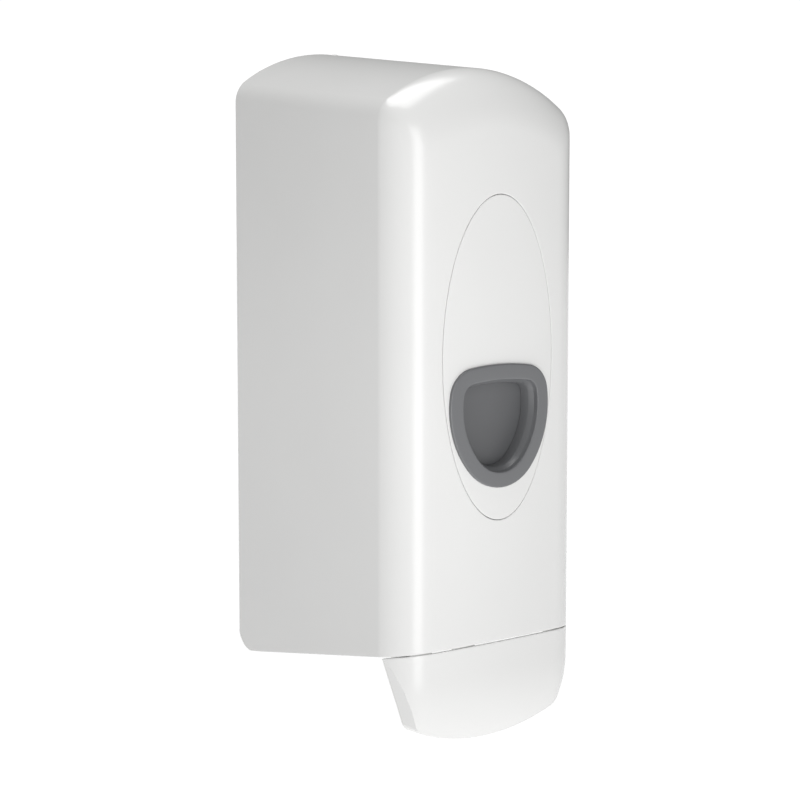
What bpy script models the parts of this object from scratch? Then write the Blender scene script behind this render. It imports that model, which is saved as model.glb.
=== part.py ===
"""Wall mounted soap dispenser, modelled piece by piece at real size.

Metres, +Z up. The wall is the plane Y = 0 and the housing stands out from it towards -Y, centred on X = 0.
Z = 0 is the middle of the wall side of the housing. The dimensions below are millimetres, and MM turns them
to metres where a mesh is made.
"""

from math import asin, cos, pi, sin, sqrt

import bmesh
import bpy
from mathutils import Matrix, Vector

MM = 0.001
GAP = 0.3  # between neighbours that rest on each other

# Housing
HALF_WIDTH = 50.5
DEPTH = 124.0
WALL = 2.5
FRONT_RADIUS = 316.0  # the front is a shallow upright cylinder
EDGE = 16.0  # reach of the rounding between the side and the front
FRONT_HALF = HALF_WIDTH - EDGE
SHOULDER = 12.0
ARCH = 80.0
PEAK_AT_WALL = 137.1
TOP_SLOPE = 0.117  # the ridge falls this much for each millimetre out from the wall
FRONT_PEAK = 100.3  # where the front starts to turn over into the top
FRONT_SHOULDER = 8.0
FRONT_ARCH = 72.0
TOP_EDGE = 17.0  # reach of the rounding between the top and the front
EDGE_WEIGHT = 0.8  # conic weight of that rounding: 0.707 is a true quarter circle
CREASE = 2.4  # the rounding aims this far inside the sharp corner, which leaves a soft crease along the side
SEAM_FRONT = -115.6  # height of the housing's lower edge at the front
SEAM_SLOPE = 0.1726  # the lower edge falls this much for each millimetre towards the wall

# Cover hinge, low down beside the wall
HINGE_Y = -10.0
HINGE_Z = -125.1
HEEL_RADIUS = 10.0
HINGE_PIN = 2.5
HINGE_EAR = (41.5, 45.4)

# Oval panel and window
OVAL_HALF = 30.15
OVAL_RISE = 68.2
OVAL_Z = 3.9
PANEL_LIP = 3.5  # how far the panel reaches behind the housing round its opening
PANEL_LIP_THICK = 1.6
WINDOW_CORNERS = ((14.1, -12.0), (0.0, -28.1), (-14.1, -12.0))
WINDOW_RADII = (12.5, 22.3, 12.5)
WINDOW_BULGES = (40.0, 40.0, 110.0)
BEZEL_RIM = 6.5
BEZEL_PROUD = 1.3
RECESS = 8.0

# Lever
LEVER_FLARE = 0.36  # each side comes in this much for each millimetre down
LEVER_TOP = -117.5
LEVER_BOTTOM = -158.4
LEVER_REAR = -107.5
LEVER_TUCK_START = -128.0
LEVER_TUCK = 0.0082  # how fast the front curves back under, per millimetre squared
LEVER_CORNER = 6.0
LEVER_ARCH = 98.0  # radius of the lever's lower edge
PIVOT_Y = -106.0
PIVOT_Z = -109.0
LEVER_PIN = 2.5
LEVER_EAR = (40.0, 43.5)
YOKE_Z = -124.7

# Back plate
PLATE = 3.0
PLATE_HALF = 47.2
PLATE_PEAK = 133.2
PLATE_RIM = 8.0
PLATE_FOOT = -124.5
SCREW_HOLES = ((-30.0, 92.0), (30.0, 92.0), (-30.0, -62.0), (30.0, -62.0))
SCREW_HOLE = 2.6
PLATE_STEP = -100.0  # below this the plate loses its rim and narrows to its foot

# Shelf under the reservoir
SHELF_THICK = 2.6
SHELF_HALF = 38.0
SHELF_FRONT = -92.0
SHELF_REAR = -3.4
SHELF_SCREW_X = 28.0
SHELF_SCREW_Y = -6.5
SCREW_SHANK = 1.4
SCREW_HEAD = 3.0

# Reservoir
TANK_HALF = 42.0
TANK_BACK = -11.0
TANK_FRONT = -104.0
TANK_TOP = 72.0
TANK_FLOOR = -80.0
TANK_WALL = 2.0
MOUTH_HALF = 24.0
MOUTH_BACK = -27.0
MOUTH_FRONT = -64.0
LID_HINGE_Y = -22.0
LID_HINGE_Z = 76.5

# Pump, all turned about one upright axis
PUMP_Y = -62.0
NECK = 15.0
NECK_END = -92.0
BARREL = 9.0
BORE = 6.6
STEM = 3.4
BARREL_TOP = -58.0
BARREL_END = -106.0
HEAD_Z = -95.0
COLLAR_Z = -124.0

# Latch
LATCH_Y = -6.2
LATCH_BORE = 2.5


def material(name, colour, roughness, metallic=0.0, alpha=1.0):
    """A Principled material from an sRGB hex colour."""
    made = bpy.data.materials.new(name)
    made.use_nodes = True
    shader = made.node_tree.nodes["Principled BSDF"]
    channels = [int(colour[i : i + 2], 16) / 255 for i in (0, 2, 4)]
    linear = [c / 12.92 if c <= 0.04045 else ((c + 0.055) / 1.055) ** 2.4 for c in channels]
    shader.inputs["Base Color"].default_value = (*linear, 1.0)
    shader.inputs["Roughness"].default_value = roughness
    shader.inputs["Metallic"].default_value = metallic
    shader.inputs["Alpha"].default_value = alpha
    made.diffuse_color = (*linear, alpha)
    return made


def add_object(name, mesh_data, finish=None, smooth_angle=0.6):
    """Puts a mesh in the scene. Without a finish it is a cutter, drawn as wire and never rendered."""
    obj = bpy.data.objects.new(name, mesh_data)
    bpy.context.scene.collection.objects.link(obj)
    if finish is None:
        obj.hide_render = True
        obj.display_type = "WIRE"
        return obj
    mesh_data.materials.append(finish)
    mesh_data.shade_smooth()
    mesh_data.set_sharp_from_angle(angle=smooth_angle)
    return obj


def to_mesh(name, bm):
    """Welds, turns the faces outwards, and scales from millimetres to metres."""
    bmesh.ops.remove_doubles(bm, verts=bm.verts, dist=1e-4)
    bmesh.ops.recalc_face_normals(bm, faces=bm.faces)
    bmesh.ops.scale(bm, vec=(MM, MM, MM), verts=bm.verts)
    made = bpy.data.meshes.new(name)
    bm.to_mesh(made)
    bm.free()
    return made


def boolean(obj, other, operation):
    step = obj.modifiers.new(operation.title(), "BOOLEAN")
    step.operation = operation
    step.solver = "EXACT"
    step.object = other


def cut(obj, *others):
    for other in others:
        boolean(obj, other, "DIFFERENCE")


def join(obj, *others):
    for other in others:
        boolean(obj, other, "UNION")


def prism(name, outline, start, end, axis="Y", finish=None):
    """A closed outline pushed along X, Y or Z. Outline pairs are (x, z) for Y, (y, z) for X, (x, y) for Z."""
    places = {
        "X": lambda a, b, c: (c, a, b),
        "Y": lambda a, b, c: (a, c, b),
        "Z": lambda a, b, c: (a, b, c),
    }
    bm = bmesh.new()
    rim = [bm.verts.new(places[axis](a, b, start)) for a, b in outline]
    base = bm.faces.new(rim)
    moved = bmesh.ops.extrude_face_region(bm, geom=[base])
    shift = Vector(places[axis](0.0, 0.0, end - start))
    fresh = [item for item in moved["geom"] if isinstance(item, bmesh.types.BMVert)]
    bmesh.ops.translate(bm, vec=shift, verts=fresh)
    return add_object(name, to_mesh(name, bm), finish)


def box(name, low, high, finish=None):
    outline = [(low[0], low[1]), (high[0], low[1]), (high[0], high[1]), (low[0], high[1])]
    return prism(name, outline, low[2], high[2], "Z", finish)


def disc(name, radius, start, end, centre, axis="Z", steps=32, finish=None):
    """A plain cylinder between two heights along its axis."""
    outline = [(radius * cos(2 * pi * i / steps), radius * sin(2 * pi * i / steps)) for i in range(steps)]
    shifts = {"X": (1, 2), "Y": (0, 2), "Z": (0, 1)}
    first, second = shifts[axis]
    placed = [(a + centre[first], b + centre[second]) for a, b in outline]
    return prism(name, placed, start, end, axis, finish)


def ring(name, inner, outer, start, end, centre, steps=32, finish=None):
    """A plain tube about an upright axis, made as a stack of two loops."""
    bm = bmesh.new()
    loops = []
    for radius, height in ((inner, start), (outer, start), (outer, end), (inner, end)):
        turn = [2 * pi * i / steps for i in range(steps)]
        loops.append(
            [bm.verts.new((centre[0] + radius * cos(a), centre[1] + radius * sin(a), height)) for a in turn]
        )
    bridge(bm, [*loops, loops[0]])
    return add_object(name, to_mesh(name, bm), finish)


def bridge(bm, loops, closed=True):
    """Quads between each loop and the next."""
    for first, second in zip(loops, loops[1:]):
        count = len(first)
        for i in range(count if closed else count - 1):
            j = (i + 1) % count
            bm.faces.new((first[i], first[j], second[j], second[i]))


def stack(name, profile, centre, steps=32, finish=None):
    """A turned piece from (radius, height) pairs, top to bottom down the outside and back up any bore.

    A first or last radius of 0 closes the piece on its axis; otherwise the profile closes on itself.
    """
    bm = bmesh.new()
    loops = []
    for radius, height in profile:
        if radius == 0:
            loops.append([bm.verts.new((centre[0], centre[1], height))])
            continue
        turn = [2 * pi * i / steps for i in range(steps)]
        loops.append(
            [bm.verts.new((centre[0] + radius * cos(a), centre[1] + radius * sin(a), height)) for a in turn]
        )
    solid = profile[0][0] == 0
    chain = loops if solid else [*loops, loops[0]]
    for first, second in zip(chain, chain[1:]):
        for i in range(steps):
            j = (i + 1) % steps
            if len(first) == 1:
                bm.faces.new((first[0], second[j], second[i]))
            elif len(second) == 1:
                bm.faces.new((first[i], first[j], second[0]))
            else:
                bm.faces.new((first[i], first[j], second[j], second[i]))
    return add_object(name, to_mesh(name, bm), finish)


def rounded_rectangle(low, high, radius, steps=5):
    """Outline with round corners, counter-clockwise."""
    points = []
    centres = (
        (high[0] - radius, low[1] + radius, -pi / 2),
        (high[0] - radius, high[1] - radius, 0.0),
        (low[0] + radius, high[1] - radius, pi / 2),
        (low[0] + radius, low[1] + radius, pi),
    )
    for x, y, first in centres:
        for i in range(steps + 1):
            angle = first + i / steps * pi / 2
            points.append((x + radius * cos(angle), y + radius * sin(angle)))
    return points


def ellipse(half, rise, z, steps=64):
    angles = [2 * pi * i / steps for i in range(steps)]
    return [(half * cos(a), z + rise * sin(a)) for a in angles]


def arc_hull(centres, radii, bulges, grow=0.0, steps=10):
    """A closed outline round several circles, whose sides between them are shallow arcs of the bulge radii.

    Growing or shrinking it moves every arc by the same amount, so the outline stays parallel to itself.
    """
    radii = [r + grow for r in radii]
    bulges = [r + grow for r in bulges]
    count = len(centres)
    sides = []
    for i in range(count):
        j = (i + 1) % count
        start, end = Vector(centres[i]), Vector(centres[j])
        near, far = bulges[i] - radii[i], bulges[i] - radii[j]
        span = (end - start).length
        along = (near * near - far * far + span * span) / (2 * span)
        across = sqrt(near * near - along * along)
        line = (end - start) / span
        inward = Vector((line.y, -line.x))
        middle = start + line * along + inward * across
        sides.append((middle, bulges[i]))
    points = []
    for i in range(count):
        corner = Vector(centres[i])
        arriving, leaving = sides[i - 1][0], sides[i][0]
        first = (corner - arriving).normalized()
        last = (corner - leaving).normalized()
        points += arc_points(corner, radii[i], first, last, steps)
        following = Vector(centres[(i + 1) % count])
        end = (following - leaving).normalized()
        points += arc_points(leaving, sides[i][1], last, end, steps)[1:-1]
    return points


def arc_points(centre, radius, first, last, steps):
    """Points of the short arc between two directions."""
    sweep = first.angle_signed(last)
    points = []
    for i in range(steps + 1):
        turn = Matrix.Rotation(-sweep * i / steps, 2)
        spot = centre + turn @ first * radius
        points.append((spot.x, spot.y))
    return points


def half_outline(half, corner, arch, peak, low, u):
    """Right half of an arched outline: u is 0-1 up the side, 1-2 round the shoulder, 2-3 to the middle."""
    arch_z = peak - arch
    corner_x = half - corner
    corner_z = arch_z + sqrt((arch - corner) ** 2 - corner_x**2)
    lean = asin(corner_x / (arch - corner))
    if u <= 1:
        return half, low + (corner_z - low) * u
    if u <= 2:
        angle = (u - 1) * (pi / 2 - lean)
        return corner_x + corner * cos(angle), corner_z + corner * sin(angle)
    angle = lean * (3 - u)
    return arch * sin(angle), arch_z + arch * cos(angle)


def arched_outline(half, corner, arch, peak, low, steps=6):
    """The whole arched outline, counter-clockwise from the lower right."""
    levels = [0.0, *[1 + i / steps for i in range(2 * steps + 1)]]
    right = [half_outline(half, corner, arch, peak, low, u) for u in levels]
    return right + [(-x, z) for x, z in reversed(right[:-1])]


def front_y(x, inset=0.0):
    """How far out the cylindrical front stands at x."""
    radius = FRONT_RADIUS - inset
    return -DEPTH + FRONT_RADIUS - sqrt(radius * radius - x * x)


def conic(start, corner, end, t):
    """A point of the rounding from start to end whose sharp corner would be at corner."""
    a, b, c = (1 - t) ** 2, 2 * t * (1 - t) * EDGE_WEIGHT, t * t
    total = a + b + c
    return [(a * p + b * q + c * r) / total for p, q, r in zip(start, corner, end)]


def housing_row(u, inset, low, rear, edge_steps, front_steps):
    """One row of the housing's skin, from the wall on the right, round the front, to the other wall side."""
    half, corner, arch = HALF_WIDTH - inset, SHOULDER - inset, ARCH - inset
    over = max(0.0, (u - 1) / 2)
    side_y = front_y(FRONT_HALF) + EDGE
    rounding_y = side_y + over * (TOP_EDGE - DEPTH - side_y)
    wall_x, wall_z = half_outline(half, corner, arch, PEAK_AT_WALL - inset, low, u)
    drop = -TOP_SLOPE * rounding_y * min(1.0, u)
    start = (wall_x, rounding_y, wall_z - drop)
    front_x, front_z = half_outline(FRONT_HALF, FRONT_SHOULDER, FRONT_ARCH, FRONT_PEAK, low, u)
    end = (front_x, front_y(front_x, inset), front_z)
    aim = CREASE
    sharp_x, sharp_z = half_outline(half - aim, corner - aim, arch - aim, PEAK_AT_WALL - inset - aim, low, u)
    sharp_y = front_y(sharp_x, inset)
    sharp = (sharp_x, sharp_y, sharp_z + TOP_SLOPE * sharp_y * min(1.0, u))
    rear_lift = TOP_SLOPE * rear * min(1.0, u)
    row = [(wall_x, rear, wall_z + rear_lift)]
    row += [conic(start, sharp, end, i / edge_steps) for i in range(edge_steps + 1)]
    across = [front_x * (1 - 2 * i / front_steps) for i in range(1, front_steps)]
    row += [(x, front_y(x, inset), front_z) for x in across]
    return row + [(-x, y, z) for x, y, z in reversed(row[: edge_steps + 2])]


def housing_solid(name, inset=0.0, rear=0.0, low=-170.0):
    """The housing's outer shape, or the same shape inset on all sides, as a closed solid."""
    edge_steps, front_steps = 7, 10
    levels = [0.0, 1.0, *[1 + i / 5 for i in range(1, 6)], *[2 + i / 6 for i in range(1, 7)]]
    bm = bmesh.new()
    rows = []
    for u in levels:
        places = housing_row(u, inset, low, rear, edge_steps, front_steps)
        rows.append([bm.verts.new(place) for place in places])
    for lower, upper in zip(rows, rows[1:]):
        for i in range(len(lower) - 1):
            bm.faces.new((lower[i], lower[i + 1], upper[i + 1], upper[i]))
        bm.faces.new((lower[-1], lower[0], upper[0], upper[-1]))
    bm.faces.new(rows[0])
    bmesh.ops.remove_doubles(bm, verts=bm.verts, dist=1e-3)
    bmesh.ops.dissolve_degenerate(bm, edges=bm.edges, dist=1e-4)
    bmesh.ops.triangulate(bm, faces=[f for f in bm.faces if len(f.verts) > 4])
    return add_object(name, to_mesh(name, bm))


def lever_solid(name, inset=0.0, rear=LEVER_REAR):
    """The lower front of the housing carried on downwards, with its front curving back under."""
    edge_steps, front_steps, rows_down = 7, 10, 12
    top, bottom = -100.0, -165.0
    bm = bmesh.new()
    rows = []
    for i in range(rows_down + 1):
        z = top + (bottom - top) * i / rows_down
        tuck = LEVER_TUCK * max(0.0, LEVER_TUCK_START - z) ** 2
        half = HALF_WIDTH - inset
        start = (half, front_y(FRONT_HALF) + EDGE + tuck, z)
        sharp = (half - CREASE, front_y(half - CREASE, inset) + tuck, z)
        end = (FRONT_HALF, front_y(FRONT_HALF, inset) + tuck, z)
        row = [(half, rear, z)]
        if start[1] < rear:
            row += [conic(start, sharp, end, j / edge_steps) for j in range(edge_steps + 1)]
        else:
            share = solve_side(start, sharp, end, rear)
            shares = [share + (1 - share) * j / (edge_steps + 1) for j in range(edge_steps + 2)]
            row = [conic(start, sharp, end, t) for t in shares]
            row[0][1] = rear
        across = [FRONT_HALF * (1 - 2 * j / front_steps) for j in range(1, front_steps)]
        mirror = [(-x, y, zz) for x, y, zz in reversed(row)]
        row += [(x, front_y(x, inset) + tuck, z) for x in across] + mirror
        rows.append([bm.verts.new(place) for place in row])
    bridge(bm, rows)
    bm.faces.new(rows[0])
    bm.faces.new(rows[-1])
    return add_object(name, to_mesh(name, bm))


def solve_side(start, sharp, end, rear):
    """Where along the rounding it crosses the plane y = rear, by halving."""
    low, high = 0.0, 1.0
    for _ in range(30):
        middle = (low + high) / 2
        if conic(start, sharp, end, middle)[1] > rear:
            low = middle
        else:
            high = middle
    return high


def lever_outline(grow=0.0):
    """Front view of the lever: sides that taper down to round corners and a shallow arched lower edge."""
    top = -90.0
    corner, bottom_radius = LEVER_CORNER, LEVER_ARCH
    lean = sqrt(1 + LEVER_FLARE**2)
    centre_z = LEVER_BOTTOM + bottom_radius
    # The corner circle touches the tapered side and the bottom arc from inside.
    reach = bottom_radius - corner
    x = 30.0
    for _ in range(40):
        z = centre_z - sqrt(reach * reach - x * x)
        x = HALF_WIDTH - LEVER_FLARE * (LEVER_TOP - z) - corner * lean
    z = centre_z - sqrt(reach * reach - x * x)
    corner += grow
    bottom_radius += grow
    side_angle = asin(LEVER_FLARE / lean)
    low_angle = -pi / 2 + asin(x / reach)
    steps = 6
    right = [(x + corner * cos(side_angle) + LEVER_FLARE * (top - z), top)]
    for i in range(steps + 1):
        angle = -side_angle + (low_angle + side_angle) * i / steps
        right.append((x + corner * cos(angle), z + corner * sin(angle)))
    for i in range(1, steps + 1):
        angle = low_angle + (-pi / 2 - low_angle) * i / steps
        right.append((bottom_radius * cos(angle), centre_z + bottom_radius * sin(angle)))
    return right + [(-x, z) for x, z in reversed(right[:-1])]


def seam_z(y):
    """Height of the sloping lower edge at a depth y."""
    return SEAM_FRONT - SEAM_SLOPE * (y + DEPTH)


def below_seam(name, drop=0.0, heel=False):
    """A cutter for everything under the housing's sloping lower edge, with the rounded heel at the wall."""
    front, back = -DEPTH - 20, 20.0
    outline = [(front, -190.0), (front, seam_z(front) - drop)]
    if heel:
        slope = asin(SEAM_SLOPE / sqrt(1 + SEAM_SLOPE**2))
        steps = 8
        for i in range(steps + 1):
            angle = -pi / 2 - slope + (pi / 2 + slope) * i / steps
            outline.append((HINGE_Y + HEEL_RADIUS * cos(angle), HINGE_Z + HEEL_RADIUS * sin(angle)))
        outline += [(back, HINGE_Z), (back, -190.0)]
    else:
        outline += [(back, seam_z(back) - drop), (back, -190.0)]
    return prism(name, outline, -80.0, 80.0, "X")


def make_cover(white):
    cover = housing_solid("cover", rear=-0.4)
    cover.hide_render = False
    cover.display_type = "TEXTURED"
    cover.data.materials.append(white)
    cover.data.shade_smooth()
    cut(cover, housing_solid("cover_inside", WALL, rear=10.0, low=-180.0))
    for side in (-1, 1):
        for label, y, z, radius, face in (
            ("hinge", HINGE_Y, HINGE_Z, 6.0, HINGE_EAR[1] + 0.4),
            ("lever", PIVOT_Y, PIVOT_Z, 5.5, LEVER_EAR[1] + 0.4),
        ):
            boss = disc(f"{label}_boss_{side}", radius, side * face, side * 49.0, (0, y, z), "X", 20)
            join(cover, boss)
            bore = disc(f"{label}_bore_{side}", HINGE_PIN + 0.2, side * 20.0, side * 48.9, (0, y, z), "X", 20)
            cut(cover, bore)
    cut(cover, below_seam("cover_lower_edge", heel=True))
    cut(cover, prism("oval_opening", ellipse(OVAL_HALF, OVAL_RISE, OVAL_Z), -140.0, -100.0))
    cut(cover, disc("latch_opening", LATCH_BORE, 120.0, 150.0, (0, LATCH_Y, 0), "Z", 20))
    return cover


def make_oval_panel(white):
    panel = housing_solid("oval_panel")
    panel.hide_render = False
    panel.display_type = "TEXTURED"
    panel.data.materials.append(white)
    rim = ellipse(OVAL_HALF + PANEL_LIP, OVAL_RISE + PANEL_LIP, OVAL_Z)
    boolean(panel, prism("panel_blank", rim, -140.0, -100.0), "INTERSECT")
    back = WALL + GAP + PANEL_LIP_THICK
    cut(panel, housing_solid("panel_back", back, rear=10.0, low=-180.0))
    lip = housing_solid("panel_step", 0.0, rear=10.0, low=-180.0)
    cut(lip, housing_solid("panel_step_inside", WALL + GAP, rear=20.0, low=-190.0))
    cut(lip, prism("panel_plug", ellipse(OVAL_HALF - GAP, OVAL_RISE - GAP, OVAL_Z), -150.0, -90.0))
    cut(panel, lip)
    cut(panel, prism("window_opening", window_outline(-1.5), -140.0, -100.0))
    return panel


def window_outline(grow=0.0, steps=8):
    return arc_hull(WINDOW_CORNERS, WINDOW_RADII, WINDOW_BULGES, grow, steps)


def layered(name, layers, finish):
    """A closed tube of parallel outlines: each layer is (grow, y), and the last joins the first."""
    bm = bmesh.new()
    loops = [[bm.verts.new((x, y, z)) for x, z in window_outline(grow)] for grow, y in layers]
    bridge(bm, [*loops, loops[0]])
    return add_object(name, to_mesh(name, bm), finish)


def make_window_bezel(grey):
    """The flange stands on the oval panel, and the funnel runs back through the panel to the pane."""
    crown = -DEPTH - BEZEL_PROUD
    pane = -DEPTH + RECESS
    layers = (
        (-0.4, crown + 0.5),
        (-1.0, crown),
        (-BEZEL_RIM + 0.8, crown),
        (-BEZEL_RIM, crown + 0.6),
        (-BEZEL_RIM - 1.8, pane),
        (-BEZEL_RIM + 0.6, pane),
        (-BEZEL_RIM + 1.6, -DEPTH + 4.6),
        (-1.9, -DEPTH + 4.6),
        (-1.9, -DEPTH - 0.35),
        (0.0, -DEPTH - 0.35),
    )
    return layered("window_bezel", layers, grey)


def make_window_pane(smoke):
    start = -DEPTH + RECESS + GAP
    return prism("window_pane", window_outline(-BEZEL_RIM + 0.4), start, start + 2.0, "Y", smoke)


def make_push_lever(white):
    lever = lever_solid("push_lever")
    lever.hide_render = False
    lever.display_type = "TEXTURED"
    lever.data.materials.append(white)
    boolean(lever, prism("lever_blank", lever_outline(), -140.0, -90.0), "INTERSECT")
    hollow = lever_solid("lever_inside", WALL, rear=-90.0)
    boolean(hollow, prism("lever_inside_blank", lever_outline(-2.2), -140.0, -80.0), "INTERSECT")
    cut(lever, hollow)
    keep = below_seam("lever_upper_edge", drop=0.5)
    boolean(lever, keep, "INTERSECT")
    for side in (-1, 1):
        low, high = LEVER_EAR
        ear_outline = [(-112.5, -140.0), (-109.0, -140.0), (-108.2, -119.5), (-101.5, -112.0)]
        for i in range(7):
            angle = -0.35 + (pi + 0.35) * i / 6
            ear_outline.append((PIVOT_Y + 5.2 * cos(angle), PIVOT_Z + 5.2 * sin(angle)))
        ear_outline += [(-111.5, -116.0), (-116.0, -122.0), (-118.0, -132.0)]
        join(lever, prism(f"lever_ear_{side}", ear_outline, side * low, side * high, "X"))
        pivot = (0, PIVOT_Y, PIVOT_Z)
        cut(lever, disc(f"lever_ear_bore_{side}", LEVER_PIN + 0.3, side * 30.0, side * 46.0, pivot, "X", 20))
    return lever


def make_lever_yoke(white):
    """The base lies against the inside of the lever, and two arms reach back either side of the nozzle."""
    yoke = box("lever_yoke", (-26.0, -119.4, -137.0), (26.0, -116.4, -122.0), white)
    for side in (-1, 1):
        steps = 6
        outline = [(-117.5, YOKE_Z - 1.2), (-117.5, YOKE_Z - 6.2)]
        for i in range(steps + 1):
            angle = -pi / 2 + pi * i / steps
            outline.append((PUMP_Y + 2.5 * cos(angle), YOKE_Z - 2.5 + 2.5 * sin(angle)))
        outline.append((PUMP_Y - 7.0, YOKE_Z - 1.2))
        join(yoke, prism(f"yoke_arm_{side}", outline, side * 10.2, side * 13.4, "X"))
    return yoke


def make_pins(steel):
    for side, label in ((-1, "left"), (1, "right")):
        centre = (0, HINGE_Y, HINGE_Z)
        disc(f"hinge_pin_{label}", HINGE_PIN - 0.1, side * 40.8, side * 48.6, centre, "X", 16, steel)
        centre = (0, PIVOT_Y, PIVOT_Z)
        disc(f"lever_pin_{label}", LEVER_PIN - 0.1, side * 39.0, side * 48.6, centre, "X", 16, steel)


def make_back_plate(white):
    """A plate with a stiffening rim; its foot is narrower, so that the cover's hinge bosses clear it."""
    foot = HINGE_EAR[1]
    outline = arched_outline(PLATE_HALF, SHOULDER - 3.3, ARCH - 3.3, PLATE_PEAK, -108.0)
    outline += [(-foot, -108.0), (-foot, PLATE_FOOT), (foot, PLATE_FOOT), (foot, -108.0)]
    plate = prism("back_plate", outline, -PLATE_RIM, 0.0, "Y", white)
    inside = arched_outline(PLATE_HALF - 2.0, SHOULDER - 5.3, ARCH - 5.3, PLATE_PEAK - 2.0, PLATE_STEP)
    cut(plate, prism("plate_pocket", inside, -20.0, -PLATE))
    cut(plate, box("plate_foot_step", (-60.0, -20.0, -140.0), (60.0, -PLATE, PLATE_STEP + 1.0)))
    cut(plate, box("plate_rim_notch", (-9.0, -20.0, 120.0), (9.0, -PLATE, 150.0)))
    for side in (-1, 1):
        ear = [(-1.5, PLATE_FOOT + 0.5)]
        for i in range(9):
            angle = -pi / 6 - 4 * pi / 3 * i / 8
            ear.append((HINGE_Y + 6.0 * cos(angle), HINGE_Z + 6.0 * sin(angle)))
        ear.append((-1.5, HINGE_Z + 9.0))
        outer = side * (HINGE_EAR[1] - 0.2)
        join(plate, prism(f"hinge_ear_{side}", ear, side * HINGE_EAR[0], outer, "X"))
        pivot = (0, HINGE_Y, HINGE_Z)
        cut(plate, disc(f"hinge_ear_bore_{side}", HINGE_PIN + 0.3, side * 30, side * 60, pivot, "X", 20))
    join(plate, box("latch_bracket", (-6.5, -10.5, 110.0), (6.5, -1.0, 113.0)))
    cut(plate, disc("latch_stem_bore", 2.0, 100.0, 118.0, (0, LATCH_Y, 0), "Z", 20))
    for i, (x, z) in enumerate(SCREW_HOLES):
        cut(plate, disc(f"wall_screw_hole_{i}", SCREW_HOLE, -20.0, 20.0, (x, 0, z), "Y", 20))
    join(plate, box("shelf_ledge", (-34.0, -10.5, -89.0), (34.0, -1.0, -86.0)))
    for side in (-1, 1):
        spot = (side * SHELF_SCREW_X, SHELF_SCREW_Y, 0)
        cut(plate, disc(f"shelf_screw_pilot_{side}", SCREW_SHANK + 0.3, -95.0, -84.0, spot, "Z", 16))
    return plate


def make_support_shelf(white):
    """A fork that the reservoir stands on: the slot lets its neck slide in from the front."""
    floor = TANK_FLOOR - GAP
    slot = NECK + 1.0
    outline = [(-SHELF_HALF, SHELF_REAR), (-SHELF_HALF, SHELF_FRONT), (-slot, SHELF_FRONT)]
    for i in range(13):
        angle = pi - pi * i / 12
        outline.append((slot * cos(angle), PUMP_Y + slot * sin(angle)))
    outline += [(slot, SHELF_FRONT), (SHELF_HALF, SHELF_FRONT), (SHELF_HALF, SHELF_REAR)]
    shelf = prism("support_shelf", outline, floor - SHELF_THICK, floor, "Z", white)
    join(shelf, box("shelf_foot", (-33.0, -10.4, -85.7), (33.0, SHELF_REAR, floor - 1.0)))
    for side in (-1, 1):
        low, high = (side * 34.0 - 1.2, -60.0, floor - 8.0), (side * 34.0 + 1.2, -12.0, floor - 1.0)
        join(shelf, box(f"shelf_gusset_{side}", low, high))
        spot = (side * SHELF_SCREW_X, SHELF_SCREW_Y, 0)
        cut(shelf, disc(f"shelf_screw_hole_{side}", SCREW_SHANK + 0.4, -95.0, -70.0, spot, "Z", 16))
    return shelf


def make_shelf_screws(steel):
    for side, label in ((-1, "left"), (1, "right")):
        profile = (
            (0, -81.2),
            (SCREW_SHANK, -82.0),
            (SCREW_SHANK, -89.3),
            (SCREW_HEAD, -89.3),
            (SCREW_HEAD, -90.4),
            (1.2, -90.9),
            (0, -90.9),
        )
        stack(f"shelf_screw_{label}", profile, (side * SHELF_SCREW_X, SHELF_SCREW_Y), 16, steel)


def make_reservoir(frosted):
    low, high = (-TANK_HALF, TANK_FRONT), (TANK_HALF, TANK_BACK)
    tank = prism("reservoir", rounded_rectangle(low, high, 9.0), TANK_FLOOR, TANK_TOP, "Z", frosted)
    centre = (0, PUMP_Y)
    join(tank, disc("neck", NECK - 0.9, NECK_END, TANK_FLOOR + 1.0, centre, "Z", 32))
    for i in range(2):
        top = -84.6 - 3.2 * i
        join(tank, disc(f"neck_thread_{i}", NECK, top - 1.3, top, centre, "Z", 32))
    inner_low = (low[0] + TANK_WALL, low[1] + TANK_WALL)
    inner_high = (high[0] - TANK_WALL, high[1] - TANK_WALL)
    hollow = rounded_rectangle(inner_low, inner_high, 7.0)
    cut(tank, prism("reservoir_inside", hollow, TANK_FLOOR + TANK_WALL, TANK_TOP - TANK_WALL, "Z"))
    mouth = rounded_rectangle((-MOUTH_HALF, MOUTH_FRONT), (MOUTH_HALF, MOUTH_BACK), 6.0)
    cut(tank, prism("mouth", mouth, 40.0, 90.0, "Z"))
    cut(tank, disc("neck_bore", BARREL + 0.3, -120.0, -60.0, centre, "Z", 32))
    for side in (-1, 1):
        lug = [(LID_HINGE_Y - 3.0, TANK_TOP - 1.0), (LID_HINGE_Y + 3.0, TANK_TOP - 1.0)]
        for i in range(7):
            angle = pi * i / 6
            lug.append((LID_HINGE_Y + 3.0 * cos(angle), LID_HINGE_Z + 3.0 * sin(angle)))
        join(tank, prism(f"lid_lug_{side}", lug, side * 20.0, side * 23.0, "X"))
    cut(tank, disc("lid_lug_bore", 1.5, -40.0, 40.0, (0, LID_HINGE_Y, LID_HINGE_Z), "X", 16))
    return tank


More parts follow.
